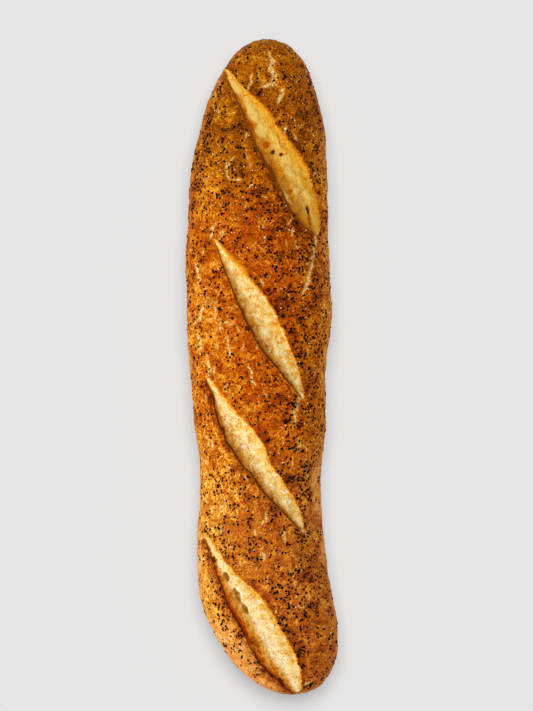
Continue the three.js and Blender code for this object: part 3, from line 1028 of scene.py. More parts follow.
class Shade:
    """The output of a node, as a value that Python can reckon with."""

    def __init__(self, recipe, socket):
        self.recipe, self.socket = recipe, socket

    def reckon(self, operation, first, second):
        return self.recipe.add("ShaderNodeMath", {"operation": operation}, {0: first, 1: second})

    def __add__(self, other):
        return self.reckon("ADD", self, other)

    def __sub__(self, other):
        return self.reckon("SUBTRACT", self, other)

    def __rsub__(self, other):
        return self.reckon("SUBTRACT", other, self)

    def __mul__(self, other):
        return self.reckon("MULTIPLY", self, other)

    def __truediv__(self, other):
        return self.reckon("DIVIDE", self, other)

    def __neg__(self):
        return self.reckon("SUBTRACT", 0.0, self)

    def __abs__(self):
        return self.reckon("ABSOLUTE", self, 0.0)

    __radd__, __rmul__ = __add__, __mul__

    def above(self, other):
        """The larger of two values."""
        return self.reckon("MAXIMUM", self, other)

    def below(self, other):
        """The smaller of two values."""
        return self.reckon("MINIMUM", self, other)

    def fade(self, low, high):
        """0 below the low value, 1 above the high one, and a smooth step between."""
        settings = {"interpolation_type": "SMOOTHSTEP"}
        return self.recipe.add("ShaderNodeMapRange", settings, {0: self, 1: low, 2: high, 3: 0.0, 4: 1.0})


class Recipe:
    """One material under construction."""

    def __init__(self, name):
        self.material = bpy.data.materials.new(name)
        self.material.use_nodes = True
        self.tree = self.material.node_tree
        self.shader = self.tree.nodes["Principled BSDF"]
        self.places = self.add("ShaderNodeTexCoord", out="Object")

    def add(self, kind, settings=None, inputs=None, out=0):
        """Adds a node: first its own settings, then a value or a link for each socket that is named."""
        node = self.tree.nodes.new(kind)
        for name, value in (settings or {}).items():
            if name == "stops":
                self.set_stops(node.color_ramp, value)
            else:
                setattr(node, name, value)
        for name, value in (inputs or {}).items():
            self.feed(node.inputs[name], value)
        return Shade(self, node.outputs[out])

    def set_stops(self, ramp, stops):
        while len(ramp.elements) < len(stops):
            ramp.elements.new(0.5)
        for element, (place, colour) in zip(ramp.elements, stops):
            element.position, element.color = place, tone(*colour)

    def feed(self, socket, value):
        if isinstance(value, Shade):
            self.tree.links.new(value.socket, socket)
        else:
            socket.default_value = value

    def mark(self, name):
        return self.add("ShaderNodeAttribute", {"attribute_name": name}, out="Fac")

    def shifted(self, seed, places=None):
        """The places moved by a seed, so that two patterns of one kind don't coincide."""
        inputs = {"Vector": places or self.places, "Location": (seed, seed, seed)}
        return self.add("ShaderNodeMapping", {}, inputs)

    def drawn_out(self, places, turned, stretch):
        """The places squeezed one way, so that a pattern that is laid over them comes out long that way."""
        inputs = {"Vector": places, "Rotation": (0.0, 0.0, turned), "Scale": (stretch, 1.0, 1.0)}
        return self.add("ShaderNodeMapping", {"vector_type": "TEXTURE"}, inputs)

    def noise(self, size, seed, detail=2.0, roughness=0.5, distortion=0.0, places=None):
        """Noise from about -1 to 1 whose features are of one size; detail adds finer ones."""
        noise_node = self.add("ShaderNodeTexNoise", {}, {
            "Vector": self.shifted(seed, places), "Scale": 1 / size, "Detail": detail,
            "Roughness": roughness, "Distortion": distortion})
        return noise_node * 4 - 2

    def warped(self, size, seed, reach):
        """The places, each moved a little way off by noise, so that a regular pattern looks grown."""
        inputs = {"Vector": self.shifted(seed), "Scale": 1 / size, "Detail": 1.0}
        drift = self.add("ShaderNodeTexNoise", {}, inputs, out="Color")
        drift = self.add("ShaderNodeVectorMath", {"operation": "SCALE"}, {0: drift, "Scale": reach})
        return self.add("ShaderNodeVectorMath", {"operation": "ADD"}, {0: self.places, 1: drift})

    def cells(self, size, places, feature):
        """How far from the nearest of many scattered points, or from the border between two."""
        return self.add("ShaderNodeTexVoronoi", {"feature": feature}, {"Vector": places, "Scale": 1 / size})

    def cell_side(self, size, places, way):
        """How far to one side of the nearest of those points each place lies, in cell sizes."""
        point = self.add("ShaderNodeTexVoronoi", {}, {"Vector": places, "Scale": 1 / size}, out="Position")
        off = self.add("ShaderNodeVectorMath", {"operation": "SUBTRACT"}, {0: places, 1: point})
        dot = {"operation": "DOT_PRODUCT"}
        return self.add("ShaderNodeVectorMath", dot, {0: off, 1: way}, out="Value") / size

    def strands(self, size, seed, width, distortion=1.2, places=None):
        """1 along thin winding strands, and 0 between them."""
        return 1 - abs(self.noise(size, seed, 1.0, 0.5, distortion, places)).fade(width * 0.3, width)

    def dots(self, size, seed, width):
        """1 in small round dots that are scattered about one size apart."""
        inputs = {"Vector": self.shifted(seed), "Scale": 1 / size}
        return 1 - self.add("ShaderNodeTexVoronoi", {}, inputs).fade(width * 0.6, width)

    def ramp(self, value, stops):
        """The colour that stands at a value on a row of tones."""
        return self.add("ShaderNodeValToRGB", {"stops": stops}, {"Fac": value})

    def mix(self, share, first, second):
        """The first colour where the share is 0, the second where it is 1."""
        return self.add("ShaderNodeMix", {"data_type": "RGBA"}, {0: share, 6: first, 7: second}, out=2)

    def stain_and_shade(self, share, colour, filter_tone):
        """Darkens the colour and makes it richer but never greyer, as stains do; it serves for real stains
        and for painted shade alike.
        """
        settings = {"data_type": "RGBA", "blend_type": "MULTIPLY"}
        return self.add("ShaderNodeMix", settings, {0: share, 6: colour, 7: filter_tone}, out=2)

    def bump(self, height, depth, below=None):
        """Tilts the surface as a height from 0 to 1 of that depth would."""
        inputs = {"Height": height, "Distance": depth, "Strength": 1.0}
        if below is not None:
            inputs["Normal"] = below
        return self.add("ShaderNodeBump", {}, inputs)

    def finish(self, **sockets):
        for name, value in sockets.items():
            self.feed(self.shader.inputs[name.replace("_", " ")], value)
        return self.material


print("finishes can be written as sums")

# %% [markdown]
# ## The colour of the crust
# Crust browns unevenly: from pale strands where the skin is stretched, over gold and orange, to
# nearly burnt where it is thin or stands up. Mixing in one colour after another soon looks muddy.
# So one number, how pale a place is, is summed up from patterns of several sizes and read off a row
# of tones, and light places are always yellow and dark ones red-brown.

# %% Tones and patterns of the crust
CRUST_TONES = [
    (0.00, (34, 12, 3)),
    (0.16, (94, 38, 3)),
    (0.34, (152, 66, 3)),
    (0.50, (192, 89, 4)),
    (0.64, (216, 114, 7)),
    (0.78, (238, 150, 22)),
    (0.90, (249, 180, 44)),
    (1.00, (253, 208, 102)),
]
TAN_TONES = [(0.0, (196, 96, 22)), (0.5, (238, 150, 62)), (1.0, (254, 204, 124))]
FRINGE_TONES = [(0.0, (206, 98, 3)), (0.5, (238, 142, 14)), (1.0, (252, 186, 54))]
LIP_END = 1.0 * mm  # an ear ends this far before the score's far edge, where both meet at a tip


def crust_patterns(r, edge_noise):
    """What more than one step of the crust's finish reads: where the scores are, the grain in two
    sizes, the blotches, the deeper browned places, and the bright veins, wisps and net."""
    p = SimpleNamespace(edge_noise=edge_noise)
    p.from_ear, p.from_far = r.mark("from_ear") + edge_noise, r.mark("from_far") + edge_noise
    p.grain = r.noise(5.5 * mm, 0.3, detail=2.0, roughness=0.55, distortion=0.6)
    p.fine = r.noise(0.9 * mm, 0.7, detail=1.0, roughness=0.7, distortion=1.6)
    p.blotches = r.noise(16 * mm, 0.6, detail=1.0)
    p.browned = r.noise(2.5 * mm, 2.2, detail=2.0, roughness=0.65, distortion=0.8).fade(0.3, 0.6)
    veins = r.strands(5.2 * mm, 0.9, 0.16) * p.blotches.fade(-0.6, 0.5)
    wisps = r.strands(2.8 * mm, 1.2, 0.3, distortion=2.0) * r.noise(6 * mm, 1.9).fade(-0.3, 0.4)
    net = 1 - r.cells(6.5 * mm, r.warped(3.5 * mm, 5.3, 5 * mm), "DISTANCE_TO_EDGE").fade(0.02, 0.09)
    net = net * (r.mark("netted") + 0.15) * p.grain.fade(-0.7, 0.2)
    p.bright = (veins * 0.8 + wisps * 0.7 + net * 0.8).below(1.0) * (1 - r.mark("low") * 0.7)
    return p


def paleness(r, p):
    """How pale each place is, from about 0, nearly burnt, to 1."""
    pitted = r.noise(1.5 * mm, 8.3, detail=1.5, roughness=0.6, distortion=1.2).fade(0.3, 0.6)
    sandy = r.noise(8 * mm, 6.1, detail=1.0).fade(-0.5, 0.5)
    scorched = p.from_ear.fade(-4.5 * mm, -1.2 * mm) * 0.8 + p.from_ear.fade(-1.4 * mm, -0.2 * mm) * 0.5
    burnt_ear = scorched * p.from_far.fade(0.0, LIP_END) * r.mark("burnt")
    beyond_far = p.from_far.fade(-6.5 * mm, -1.6 * mm) * p.from_ear.fade(0.0, LIP_END)
    # darker round clumps of seeds: partly browned, partly painted shade of the seeds
    crowded = r.mark("seeded").fade(0.8, 3.0)
    pale = 0.49 + p.grain * 0.14 + p.fine * (0.2 + sandy * 0.15) + p.blotches * 0.04 + p.bright * 0.31
    pale = pale + r.mark("bake") - p.browned * 0.23 - pitted * 0.14 - crowded * 0.07
    pale = pale - r.mark("dark") * 0.07 + r.mark("pale") * 0.1
    return (pale - burnt_ear * (0.2 + p.blotches * 0.06) - beyond_far * 0.1).above(0.1)


def crust_colour(r, p):
    """The tones, a little redder or more ochre from place to place, and the tan of the pale spots."""
    flicker = r.noise(0.9 * mm, 4.7, detail=1.0, roughness=0.7)
    colour = r.add("ShaderNodeHueSaturation", {}, {
        "Hue": 0.5 + r.mark("hue") * 0.008 + flicker * 0.02,
        "Saturation": 1 - r.mark("faded") * 0.016,
        "Color": r.ramp(paleness(r, p), CRUST_TONES),
    })
    tan = r.ramp(0.5 + p.grain * 0.3 + p.fine * 0.2 + p.bright * 0.3 - p.browned * 0.2, TAN_TONES)
    return r.mix(r.mark("pale") * 0.8, colour, tan)


print(f"{len(CRUST_TONES)} tones from nearly burnt to pale")

# %% [markdown]
# ## What lies on the crust
# Over its own colour the crust has burnt specks, a gilt line along some of the ears, a fringe of
# thin golden skin past the far edge of each score, and the cracks. Each is a short function that
# takes the colour so far and gives it back with one thing more, together with that thing's relief.
# So each can be left out or changed alone, and one loop lays them all.

# %% Specks, ears, fringes and cracks
def specks(r, p, colour):
    """Tiny burnt specks between the seeds."""
    speck = r.dots(1.5 * mm, 1.5, 0.28) * r.noise(4 * mm, 1.8).fade(-0.3, 0.3)
    return r.mix(speck * 0.75, colour, tone(40, 14, 6)), speck * -0.4


def gilt_lip(r, p, colour):
    """The golden line along the top of an ear."""
    lip = p.from_ear.fade(-1.3 * mm, -0.2 * mm) * p.from_far.fade(0.0, LIP_END)
    return r.mix(lip * r.mark("gilt"), colour, tone(220, 134, 24)), 0.0


def golden_fringe(r, p, colour):
    """The thin golden skin past the far edge, which was crumb until it browned."""
    outer = 1 + p.from_far / r.mark("fringe").above(0.1 * mm) + p.grain * 0.15
    fringe = outer.fade(-0.25, 0.05) * p.from_ear.fade(0.0, LIP_END)
    skin = r.ramp(outer + p.fine * 0.15 + p.bright * 0.15, FRINGE_TONES)
    return r.mix(fringe * 0.85, colour, skin), 0.0


def open_cracks(r, p, colour):
    """The pale layer that shows where the skin split, in a golden halo."""
    crumbling = r.noise(1.2 * mm, 3.1, detail=1.0).fade(-0.6, 0.2)
    off_crack = abs(r.mark("crack_side")).above(r.mark("crack_near") - 0.35 * mm)
    crack = r.mark("crack_half") + (p.edge_noise + p.fine * (0.5 * mm)) * 0.5 - off_crack
    halo, split = crack.fade(-1.0 * mm, 0.0), crack.fade(-0.1 * mm, 0.1 * mm)
    colour = r.mix(halo * 0.5, colour, tone(236, 150, 34))
    return r.mix(split * crumbling * 0.9, colour, tone(246, 218, 144)), split * -0.8


CRUST_LAYERS = [specks, gilt_lip, golden_fringe, open_cracks]


def lay(r, p, layers, colour, height):
    """Lays one layer after another over a colour, and adds up their relief."""
    for layer in layers:
        colour, relief = layer(r, p, colour)
        height = height + relief
    return colour, height


def crust_finish(r, edge_noise):
    """The colour of the crust and the height of its fine relief."""
    p = crust_patterns(r, edge_noise)
    return lay(r, p, CRUST_LAYERS, crust_colour(r, p), (p.grain + p.fine + p.bright) * 0.5)


print(f"{len(CRUST_LAYERS)} layers on the crust")

# %% [markdown]
# ## The colour of the crumb
# A bed of crumb is brown under the ear, where it is deep and moist, then tan, nearly white in the
# middle, where it dried first, and golden at the far edge, where it began to crust. The brown under
# the ear is partly painted shade of the ear, and the near-white middle is partly painted light on the
# swelling bed. So its row of tones runs across the bed and not from dark to light. Where the bed was
# stretched thin, as at one end of the first score, it is golden all over, and a second row of tones
# takes over there.

# %% Tones and patterns of the crumb
# The first, darkest tones are partly painted shade under the ear, in both rows.
CRUMB_TONES = [  # from the ear to the far edge
    (0.00, (128, 58, 2)),
    (0.07, (184, 108, 12)),
    (0.16, (208, 144, 40)),
    (0.28, (220, 168, 76)),
    (0.42, (238, 196, 112)),
    (0.54, (252, 216, 128)),
    (0.70, (255, 217, 112)),
    (0.98, (254, 194, 58)),
]
GOLDEN_TONES = [
    (0.00, (116, 50, 2)),
    (0.10, (178, 100, 4)),
    (0.30, (206, 140, 22)),
    (0.50, (228, 172, 60)),
    (0.68, (244, 194, 82)),
    (0.82, (252, 184, 36)),
    (0.98, (250, 174, 34)),
]
SCORE_HEADING = math.radians(-59)


def crumb_patterns(r):
    """What more than one step of the crumb's finish reads: the share of the way across the bed,
    patterns of three sizes, and how golden, stretched or open the crumb is."""
    p = SimpleNamespace(share=r.mark("bed_share"), creased=r.mark("creased"))
    along = r.mark("along")
    drawn_out = r.add("ShaderNodeCombineXYZ", {}, {"X": along * 0.3, "Y": r.mark("aside") + along * 0.3})
    p.combed = r.noise(0.9 * mm, 0.2, detail=1.0, roughness=0.6, distortion=0.6, places=drawn_out)
    p.webs = r.noise(3.8 * mm, 2.1, detail=3.0, roughness=0.65, distortion=0.8)
    p.lace = r.noise(1.9 * mm, 2.4, detail=3.0, roughness=0.65, distortion=1.5)
    p.swirl = r.drawn_out(r.warped(6 * mm, 5.8, 4 * mm), SCORE_HEADING, 2.2)
    p.shore = 1 - (p.share + p.webs * 0.1).fade(0.25, 0.5)
    # Next to the ear the crumb is made more golden and darker, partly as painted shade under the ear.
    p.golden = (r.mark("golden") + p.webs * 0.2 + p.shore * (0.9 - p.creased * 0.8)).above(0.0).below(1.0)
    p.stretched = r.mark("golden").fade(0.15, 0.4) * (1 - p.creased)
    p.open = (1 - p.creased) * (1 - p.stretched)
    p.comb = (1 - (p.share + p.webs * 0.1).fade(0.3, 0.6)) * p.open
    return p


def crumb_colour(r, p):
    """The two rows of tones, mixed by how golden the crumb is."""
    place = p.share + p.webs * 0.07 + p.lace * 0.05
    return r.mix(p.golden, r.ramp(place, CRUMB_TONES), r.ramp(place, GOLDEN_TONES))


print(f"{len(CRUMB_TONES)} tones of crumb, and {len(GOLDEN_TONES)} of golden crumb")

# %% [markdown]
# ## Torn cells, blisters and folds
# Crumb is a foam. Beside the ear it was torn open last, and there its cells show: round blisters in
# the creased beds, and a honeycomb of amber pits in the open one, the pits darker partly as painted
# shade in them. The stretched bed is smooth, with a few thin folds, darker along them as painted
# shade. Cells are grown from scattered points and warped by noise, because plain ones look like
# tiles. A blister is drawn like a small ball, with painted shade on one side and a painted highlight
# on the other.

# %% Layers of cells
def blisters(r, p, colour):
    """Rings by the ear of a creased bed, with painted shade on one side and a painted highlight on the other.
    """
    places = r.warped(5 * mm, 4.1, 2.5 * mm)
    ring = 1 - abs(r.cells(4.6 * mm, places, "F1") - 0.38).fade(0.03, 0.16)
    ring = ring * p.shore * p.creased
    side = r.cell_side(4.6 * mm, places, (-0.9, 0.4, 0.0)) + p.lace * 0.08
    dark_arcs, pale_arcs = ring * side.fade(-0.02, 0.22), ring * (-side).fade(-0.02, 0.22)
    colour = r.stain_and_shade(dark_arcs * 0.75, colour, tone(196, 168, 120))
    return r.mix(pale_arcs * 0.3, colour, tone(254, 232, 176)), dark_arcs * -0.6


def honeycomb(r, p, colour):
    """Amber pits between thin pale walls, by the ear of an open bed; the pits are darker partly as painted
    shade in them.
    """
    edge = r.cells(3.2 * mm, r.warped(3 * mm, 8.4, 2.5 * mm), "DISTANCE_TO_EDGE")
    walls, pits = (1 - edge.fade(0.04, 0.14)) * p.comb, edge.fade(0.08, 0.3) * p.comb
    colour = r.stain_and_shade(pits * 0.6, colour, tone(222, 164, 60))
    return r.mix(walls * p.lace.fade(-0.6, 0.1) * 0.5, colour, tone(244, 192, 92)), walls * 0.5


def folds(r, p, colour):
    """Thin folds in stretched crumb, darker along their lines as painted shade."""
    border = r.cells(6.5 * mm, r.warped(4 * mm, 6.2, 4 * mm), "DISTANCE_TO_EDGE")
    fold = (1 - border.fade(0.01, 0.1)) * p.lace.fade(-0.6, 0.2) * p.stretched
    return r.stain_and_shade(fold * 0.8, colour, tone(232, 188, 84)), fold * -0.5


CELL_LAYERS = [blisters, honeycomb, folds]
print(f"{len(CELL_LAYERS)} layers of cells")

# %% [markdown]
# ## Fibres, chalk and glaze
# Between its cells the crumb is drawn into fibres. They run along the score, loosely curled where
# the bed is open and combed straight where it is stretched. Their tops get a painted highlight: they
# are mixed with a paler tone. The hollows and creases between them get painted shade: they are
# stained, which makes them richer and darker but never grey. The middle of an open bed is dry and
# chalky, with pores that are stained darker as painted shade in them. Stretched crumb is glazed.

# %% Layers of fibres
def fibres(r, p, colour):
    """Fibres with short curls and creases between them, with painted highlights on top and painted shade
    below.
    """
    loose = r.noise(1.3 * mm, 2.9, detail=1.5, roughness=0.65, distortion=0.8, places=p.swirl)
    fibre = loose * (1 - p.stretched) + p.combed * p.stretched
    strokes = 1 - abs(r.noise(1.5 * mm, 5.2, detail=1.0, distortion=1.0, places=p.swirl)).fade(0.08, 0.3)
    strokes, raised = strokes * (1 - p.stretched), r.noise(4 * mm, 7.9, detail=1.0)
    curls, creases = strokes * raised.fade(0.0, 0.4), strokes * (-raised).fade(0.0, 0.4)
    ridge = 1 - abs(p.share - 0.42 + p.webs * 0.05).fade(0.04, 0.1)
    ridge = ridge * (1 - p.creased) * p.lace.fade(-0.5, 0.1)
    # painted highlight: the tops of fibres, the curls and the ridge are mixed with a paler tone
    lit = (fibre.fade(0.05, 0.45) * 0.45).above(curls).above(ridge * (1 - p.golden))
    lit_tone = r.mix((p.share + p.webs * 0.1).fade(0.15, 0.5), tone(246, 218, 150), tone(255, 248, 212))
    lit_tone = r.mix(p.stretched, lit_tone, tone(255, 226, 116))
    lit_tone = r.mix(p.comb * 0.8, lit_tone, tone(228, 166, 60))
    colour = r.mix(lit * (0.5 + p.share.fade(0.2, 0.6) * 0.4 - p.stretched * 0.2), colour, lit_tone)
    # painted shade in the hollows between fibres
    shadowed = (-fibre).fade(0.0, 0.5)
    shadow_tone = r.mix(p.share.fade(0.3, 0.65), tone(222, 180, 104), tone(248, 184, 72))
    colour = r.stain_and_shade(shadowed * 0.34, colour, shadow_tone)
    # painted shade in the creases
    crease_tone = r.mix(p.share.fade(0.3, 0.6), tone(196, 150, 80), tone(238, 162, 62))
    colour = r.stain_and_shade(creases * 0.75, colour, crease_tone)
    return colour, lit * 0.3 - shadowed * 0.4 - creases * 0.5


def chalk_and_pores(r, p, colour):
    """The dry middle of an open bed, with amber spots towards its far edge, and pores everywhere."""
    chalky = p.share.fade(0.35, 0.5) * (1 - p.share.fade(0.6, 0.85)) * p.open
    colour = r.mix(chalky * p.webs.fade(-0.5, 0.3) * 0.5, colour, tone(255, 242, 206))
    spotted = p.lace.fade(0.25, 0.6) * p.share.fade(0.4, 0.8) * (1 - p.creased * 0.5) * (1 - p.stretched)
    colour = r.stain_and_shade(spotted * 0.8, colour, tone(238, 170, 70))
    # the pores are stained darker, as painted shade in them
    pores = r.dots(1.7 * mm, 2.7, 0.24) * p.webs.fade(-0.5, 0.2)
    return r.stain_and_shade(pores * 0.8, colour, tone(214, 156, 84)), pores * -0.3


def glaze(r, p, colour):
    """A yellow glaze over stretched crumb, with brown streaks where it is most golden."""
    streaks = p.combed.fade(0.1, 0.5) * r.mark("golden").fade(0.85, 1.1)
    colour = r.stain_and_shade(streaks * 0.4, colour, tone(206, 158, 54))
    filter_tone = r.mix(p.share.fade(0.2, 0.5), tone(240, 220, 128), tone(245, 234, 184))
    return r.stain_and_shade(p.stretched * (1 - p.golden.fade(0.7, 1.0)) * 0.9, colour, filter_tone), 0.0


FIBRE_LAYERS = [fibres, chalk_and_pores, glaze]
print(f"{len(FIBRE_LAYERS)} layers of fibres")

# %% [markdown]
# ## Lobes, hollows and bubbles
# The listed spots come last, over the fibres, as they did in the oven: lobes that swelled smooth,
# toasted stains, hollows, burst bubbles with a brown inside, and a shut blister or two. The dark
# inside a hollow or a bubble is partly painted shade in its dent, and a shut blister has a painted
# highlight on its top and painted shade round it. Noise is added to each mark before it is faded,
# and so no spot is a clean oval. A brown line under the ear closes the bed; it is partly painted
# shade of the ear.

# %% Layers of spots
def lobes_and_hollows(r, p, colour):
    """Smooth lobes, toasted stains and small hollows, made dark as painted shade in them."""
    lobe = (r.mark("smooth") + p.webs * 0.3 + p.lace * 0.15 + p.combed * 0.1).fade(0.25, 1.0)
    colour = r.mix(lobe * 0.6, colour, tone(246, 212, 116))
    colour = r.stain_and_shade((r.mark("toasted") + p.lace * 0.4).fade(0.2, 0.9), colour, tone(222, 156, 52))
    hollow = (r.mark("hollow") + p.lace * 0.25).fade(0.3, 0.6)
    return r.stain_and_shade(hollow, colour, tone(132, 104, 60)), lobe * 0.2 - hollow


def burst_bubbles(r, p, colour):
    """Brown inside, with a darker outline: partly painted shade in the bubble's dent."""
    blown = r.mark("bubbled") + p.lace * 0.2
    outline = 1 - abs(blown - 0.3).fade(0.05, 0.25)
    inside = r.mix(p.lace.fade(-0.4, 0.6), tone(146, 80, 12), tone(204, 146, 60))
    colour = r.mix(blown.fade(0.3, 0.5), colour, inside)
    return r.stain_and_shade(outline * 0.8, colour, tone(196, 148, 70)), 0.0


def shut_blisters(r, p, colour):
    """A dome with a painted highlight on its top, in a darker ring of painted shade."""
    dome = r.mark("blister") + p.lace * 0.12
    colour = r.stain_and_shade(dome.fade(0.02, 0.25) * 0.9, colour, tone(226, 170, 100))
    top = r.mix(p.lace.fade(-0.3, 0.3), tone(234, 184, 120), tone(253, 226, 180))
    return r.mix(dome.fade(0.25, 0.45), colour, top), 0.0


def rim_and_ear_shade(r, p, colour):
    """The brown line under the ear and the darker crumb beside it: partly toasted, partly painted shade of
    the ear.
    """
    line = 1 - (p.share + p.lace * 0.03).fade(0.0, 0.12)
    colour = r.mix(line * 0.85, colour, tone(142, 72, 6))
    colour = r.stain_and_shade(p.comb * (1 - p.share.fade(0.08, 0.3)), colour, tone(240, 188, 104))
    return r.stain_and_shade(p.creased * (1 - p.share.fade(0.1, 0.34)), colour, tone(224, 200, 148)), 0.0


SPOT_LAYERS = [lobes_and_hollows, burst_bubbles, shut_blisters, rim_and_ear_shade]


def crumb_finish(r):
    """The colour of the crumb and the height of its fine relief."""
    p = crumb_patterns(r)
    layers = CELL_LAYERS + FIBRE_LAYERS + SPOT_LAYERS
    return lay(r, p, layers, crumb_colour(r, p), p.lace * 0.3 + p.webs * 0.2)


print(f"{len(SPOT_LAYERS)} layers of spots")

# %% [markdown]
# ## One skin
# Crust and crumb are one skin, so they are one material. The marks say how deep inside a score a
# place lies, and a little noise makes the edge between the two ragged. Bread is dull: the crust is
# a little smoother than the crumb, and both reflect next to nothing.

# %% Crust and crumb in one material
SKIN_DEPTH = 0.2 * mm


def bread():
    r = Recipe("bread")
    edge_noise = r.noise(1.4 * mm, 0.1) * (0.55 * mm)
    inside = r.mark("from_ear").below(r.mark("from_far")) + edge_noise * 0.5
    in_score = inside.fade(-0.15 * mm, 0.2 * mm)
    crust_look, crust_bumps = crust_finish(r, edge_noise)
    crumb_look, crumb_bumps = crumb_finish(r)
    return r.finish(
        Base_Color=r.mix(in_score, crust_look, crumb_look),
        Roughness=0.5 + in_score * 0.25,
        Specular_IOR_Level=0.02,
        Normal=r.bump(crust_bumps * (1 - in_score) + crumb_bumps * in_score, SKIN_DEPTH),
    )


loaf_piece = add_piece("seeded_loaf", loaf_mesh, bread())
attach(loaf_piece, "root")
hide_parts("loaf")
print(f"the bread takes {len(loaf_mesh.materials[0].node_tree.nodes)} nodes")

# %% [markdown]
# ## Poppy seeds
# A poppy seed is a small kidney, about a millimetre long, blue-black and slightly glossy. Hundreds
# of them are pressed into the crust. Particles or instances would be lost when the loaf is
# exported, so the seeds are joined into one mesh: one kidney is made, and copied by arithmetic to
# each place, with its own size, turn and tilt.

# %% One kidney, copied to each place
def kidney():
    """A unit seed: a small ball, longer than wide, bent and dented on one side."""
    mesh = bpy.data.meshes.new("kidney")
    builder = bmesh.new()
    bmesh.ops.create_uvsphere(builder, u_segments=8, v_segments=5, radius=0.5)
    bmesh.ops.rotate(builder, verts=builder.verts, matrix=Quaternion((0, 1, 0), math.pi / 2).to_matrix())
    bmesh.ops.triangulate(builder, faces=builder.faces)
    builder.to_mesh(mesh)
    builder.free()
    vertices = np.array([v.co for v in mesh.vertices])
    faces = np.array(sorted(tuple(face.vertices) for face in mesh.polygons))
    bpy.data.meshes.remove(mesh)
    x, y, z = vertices.T
    bent = y * 0.8 + 0.35 * x**2 - 0.05
    return np.stack([x, bent, z * 0.74], axis=1), faces


SEED_LEAN = 0.22
SEED_BREADTH, SEED_THICKNESS = (0.88, 1.08), (0.9, 1.1)


def copies(shape, faces, places, sizes, sunk, seed):
    """One mesh with a copy of the shape at each place, and a random number for each copy."""
    chance = Random(seed)
    all_vertices, all_faces, tints = [], [], []
    for number, ((y, turn, spin), size) in enumerate(zip(places, sizes)):
        out = Vector(on_loaf(shaped_outward, y, turn)).normalized()
        lean = Vector([chance.gauss(0, SEED_LEAN) for _ in range(3)])
        stand = Vector((0, 0, 1)).rotation_difference((out + lean).normalized())
        pose = (stand @ Quaternion((0, 0, 1), spin)).to_matrix()
        squash = np.array([1, chance.uniform(*SEED_BREADTH), chance.uniform(*SEED_THICKNESS)])
        centre = Vector(on_loaf(shaped, y, turn)) - out * size * sunk
        all_vertices.append(shape * squash * size @ np.array(pose).T + np.array(centre))
        all_faces.append(faces + number * len(shape))
        tints.append(np.full(len(shape), chance.random()))
    return np.concatenate(all_vertices), np.concatenate(all_faces), np.concatenate(tints)


SEED_LENGTH = (1.0 * mm, 1.7 * mm)
LARGE_SEED_LENGTH = 1.7 * mm
SEED_SUNK = 0.1
shaped_outward = outward(shaped)
chance = Random(29)
sizes = [LARGE_SEED_LENGTH * chance.uniform(0.9, 1.0) for _ in large_places]
sizes += [chance.uniform(*SEED_LENGTH) for _ in small_places]
seed_shape, seed_faces = kidney()
places = large_places + small_places
vertices, faces, tints = copies(seed_shape, seed_faces, places, sizes, SEED_SUNK, 31)
seed_mesh = mesh_from("poppy_seeds", vertices, faces)
mark(seed_mesh, "tint", tints)
print(f"the poppy seeds have {len(faces)} triangles")

# %% The finish of the poppy seeds
def seed_skin():
    r = Recipe("poppy_seed_skin")
    tint = r.mark("tint")
    skin = r.mix(tint.fade(0.1, 0.6), tone(8, 5, 4), tone(20, 12, 9))
    skin = r.mix(tint.fade(0.84, 0.97), skin, tone(58, 24, 9))
    pits = r.dots(0.16 * mm, 0.4, 0.5)
    finish = dict(Base_Color=skin, Roughness=0.45 + pits * 0.2, Normal=r.bump(pits, 0.02 * mm))
    return r.finish(Specular_IOR_Level=0.05, **finish)


seed_piece = add_piece("poppy_seeds", seed_mesh, seed_skin())
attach(seed_piece, "root")
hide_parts("loaf")
print(f"{len(places)} seeds in a blue-black skin")

# %% [markdown]
# ## Pale grains for glints
# Between the poppy seeds lie some fine pale grains. They are painted highlights: near-white specks
# that stand in for small glints on the glossy seeds and crust, with a little real gloss of their own.
# They are made like the seeds, from a shape with fewer faces, because each is only half a millimetre
# long.

# %% Grains that stand in for glints, as painted highlights
GLINT_GRAINS = 400
GRAIN_LENGTH = (0.6 * mm, 1.1 * mm)
GRAIN_SUNK = 0.2


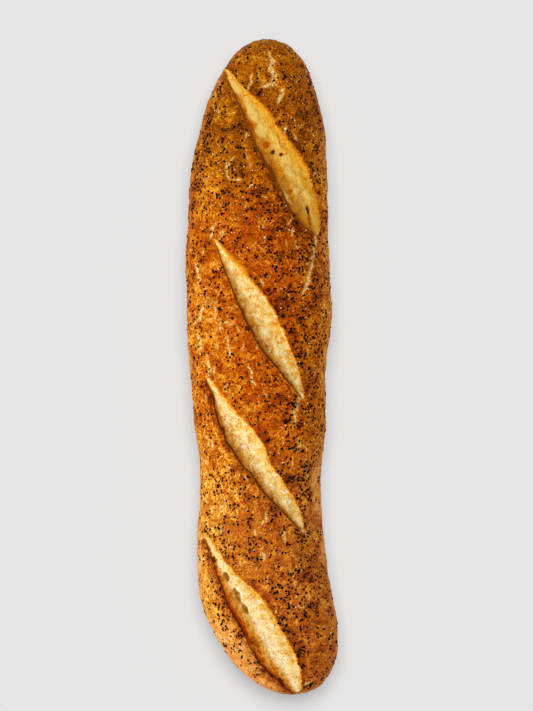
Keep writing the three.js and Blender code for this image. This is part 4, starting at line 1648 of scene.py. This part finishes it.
def grain():
    """A unit grain: a ball of 20 triangles, a little flattened."""
    golden_ratio = (1 + math.sqrt(5)) / 2
    corners = [(0, a, b * golden_ratio) for a in (-1, 1) for b in (-1, 1)]
    corners += [(a, b * golden_ratio, 0) for a in (-1, 1) for b in (-1, 1)]
    corners += [(b * golden_ratio, 0, a) for a in (-1, 1) for b in (-1, 1)]
    corners = np.array(corners) / np.hypot(1, golden_ratio) / 2
    hull = bmesh.new()
    for corner in corners:
        hull.verts.new(corner)
    bmesh.ops.convex_hull(hull, input=hull.verts)
    hull.verts.index_update()
    faces = np.array([[v.index for v in face.verts] for face in hull.faces])
    hull.free()
    return corners * (1, 0.8, 0.7), faces


def glint_skin():
    r = Recipe("glint_grain_skin")
    # near-white tones, so that each grain reads as a glint: a painted highlight
    skin = r.mix(r.mark("tint"), tone(255, 250, 222), tone(255, 232, 168))
    return r.finish(Base_Color=skin, Roughness=0.3 + r.noise(0.2 * mm, 0.5) * 0.05, Specular_IOR_Level=0.3)


def grain_thickness(place, y, turn):
    """More grains towards the head and the right side."""
    return 0.2 + 0.8 * float(fade(place[1] + 2 * place[0], -90 * mm, 110 * mm))


grain_places = scattered(GLINT_GRAINS, 37, grain_thickness)
grain_sizes = [chance.uniform(*GRAIN_LENGTH) for _ in grain_places]
grain_shape, grain_faces = grain()
vertices, faces, tints = copies(grain_shape, grain_faces, grain_places, grain_sizes, GRAIN_SUNK, 41)
grain_mesh = mesh_from("glint_grains", vertices, faces)
mark(grain_mesh, "tint", tints)
grain_piece = add_piece("glint_grains", grain_mesh, glint_skin())
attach(grain_piece, "root")
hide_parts("loaf")
print(f"{GLINT_GRAINS} pale grains, {len(faces)} triangles")

# %% [markdown]
# ## Measuring the result
# The finished loaf should keep close to the solid that it stands for, so both boxes are measured and
# the growth along each axis is printed. The finished loaf has to stay within a few millimetres of
# the solid that it stands for.

# %% Sizes and the end
dressed_low, dressed_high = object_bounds()
growth = [1000 * (b - a) for a, b in zip(solid_high - solid_low, dressed_high - dressed_low)]
print("growth in mm:", ", ".join(f"{g:.2f}" for g in growth))
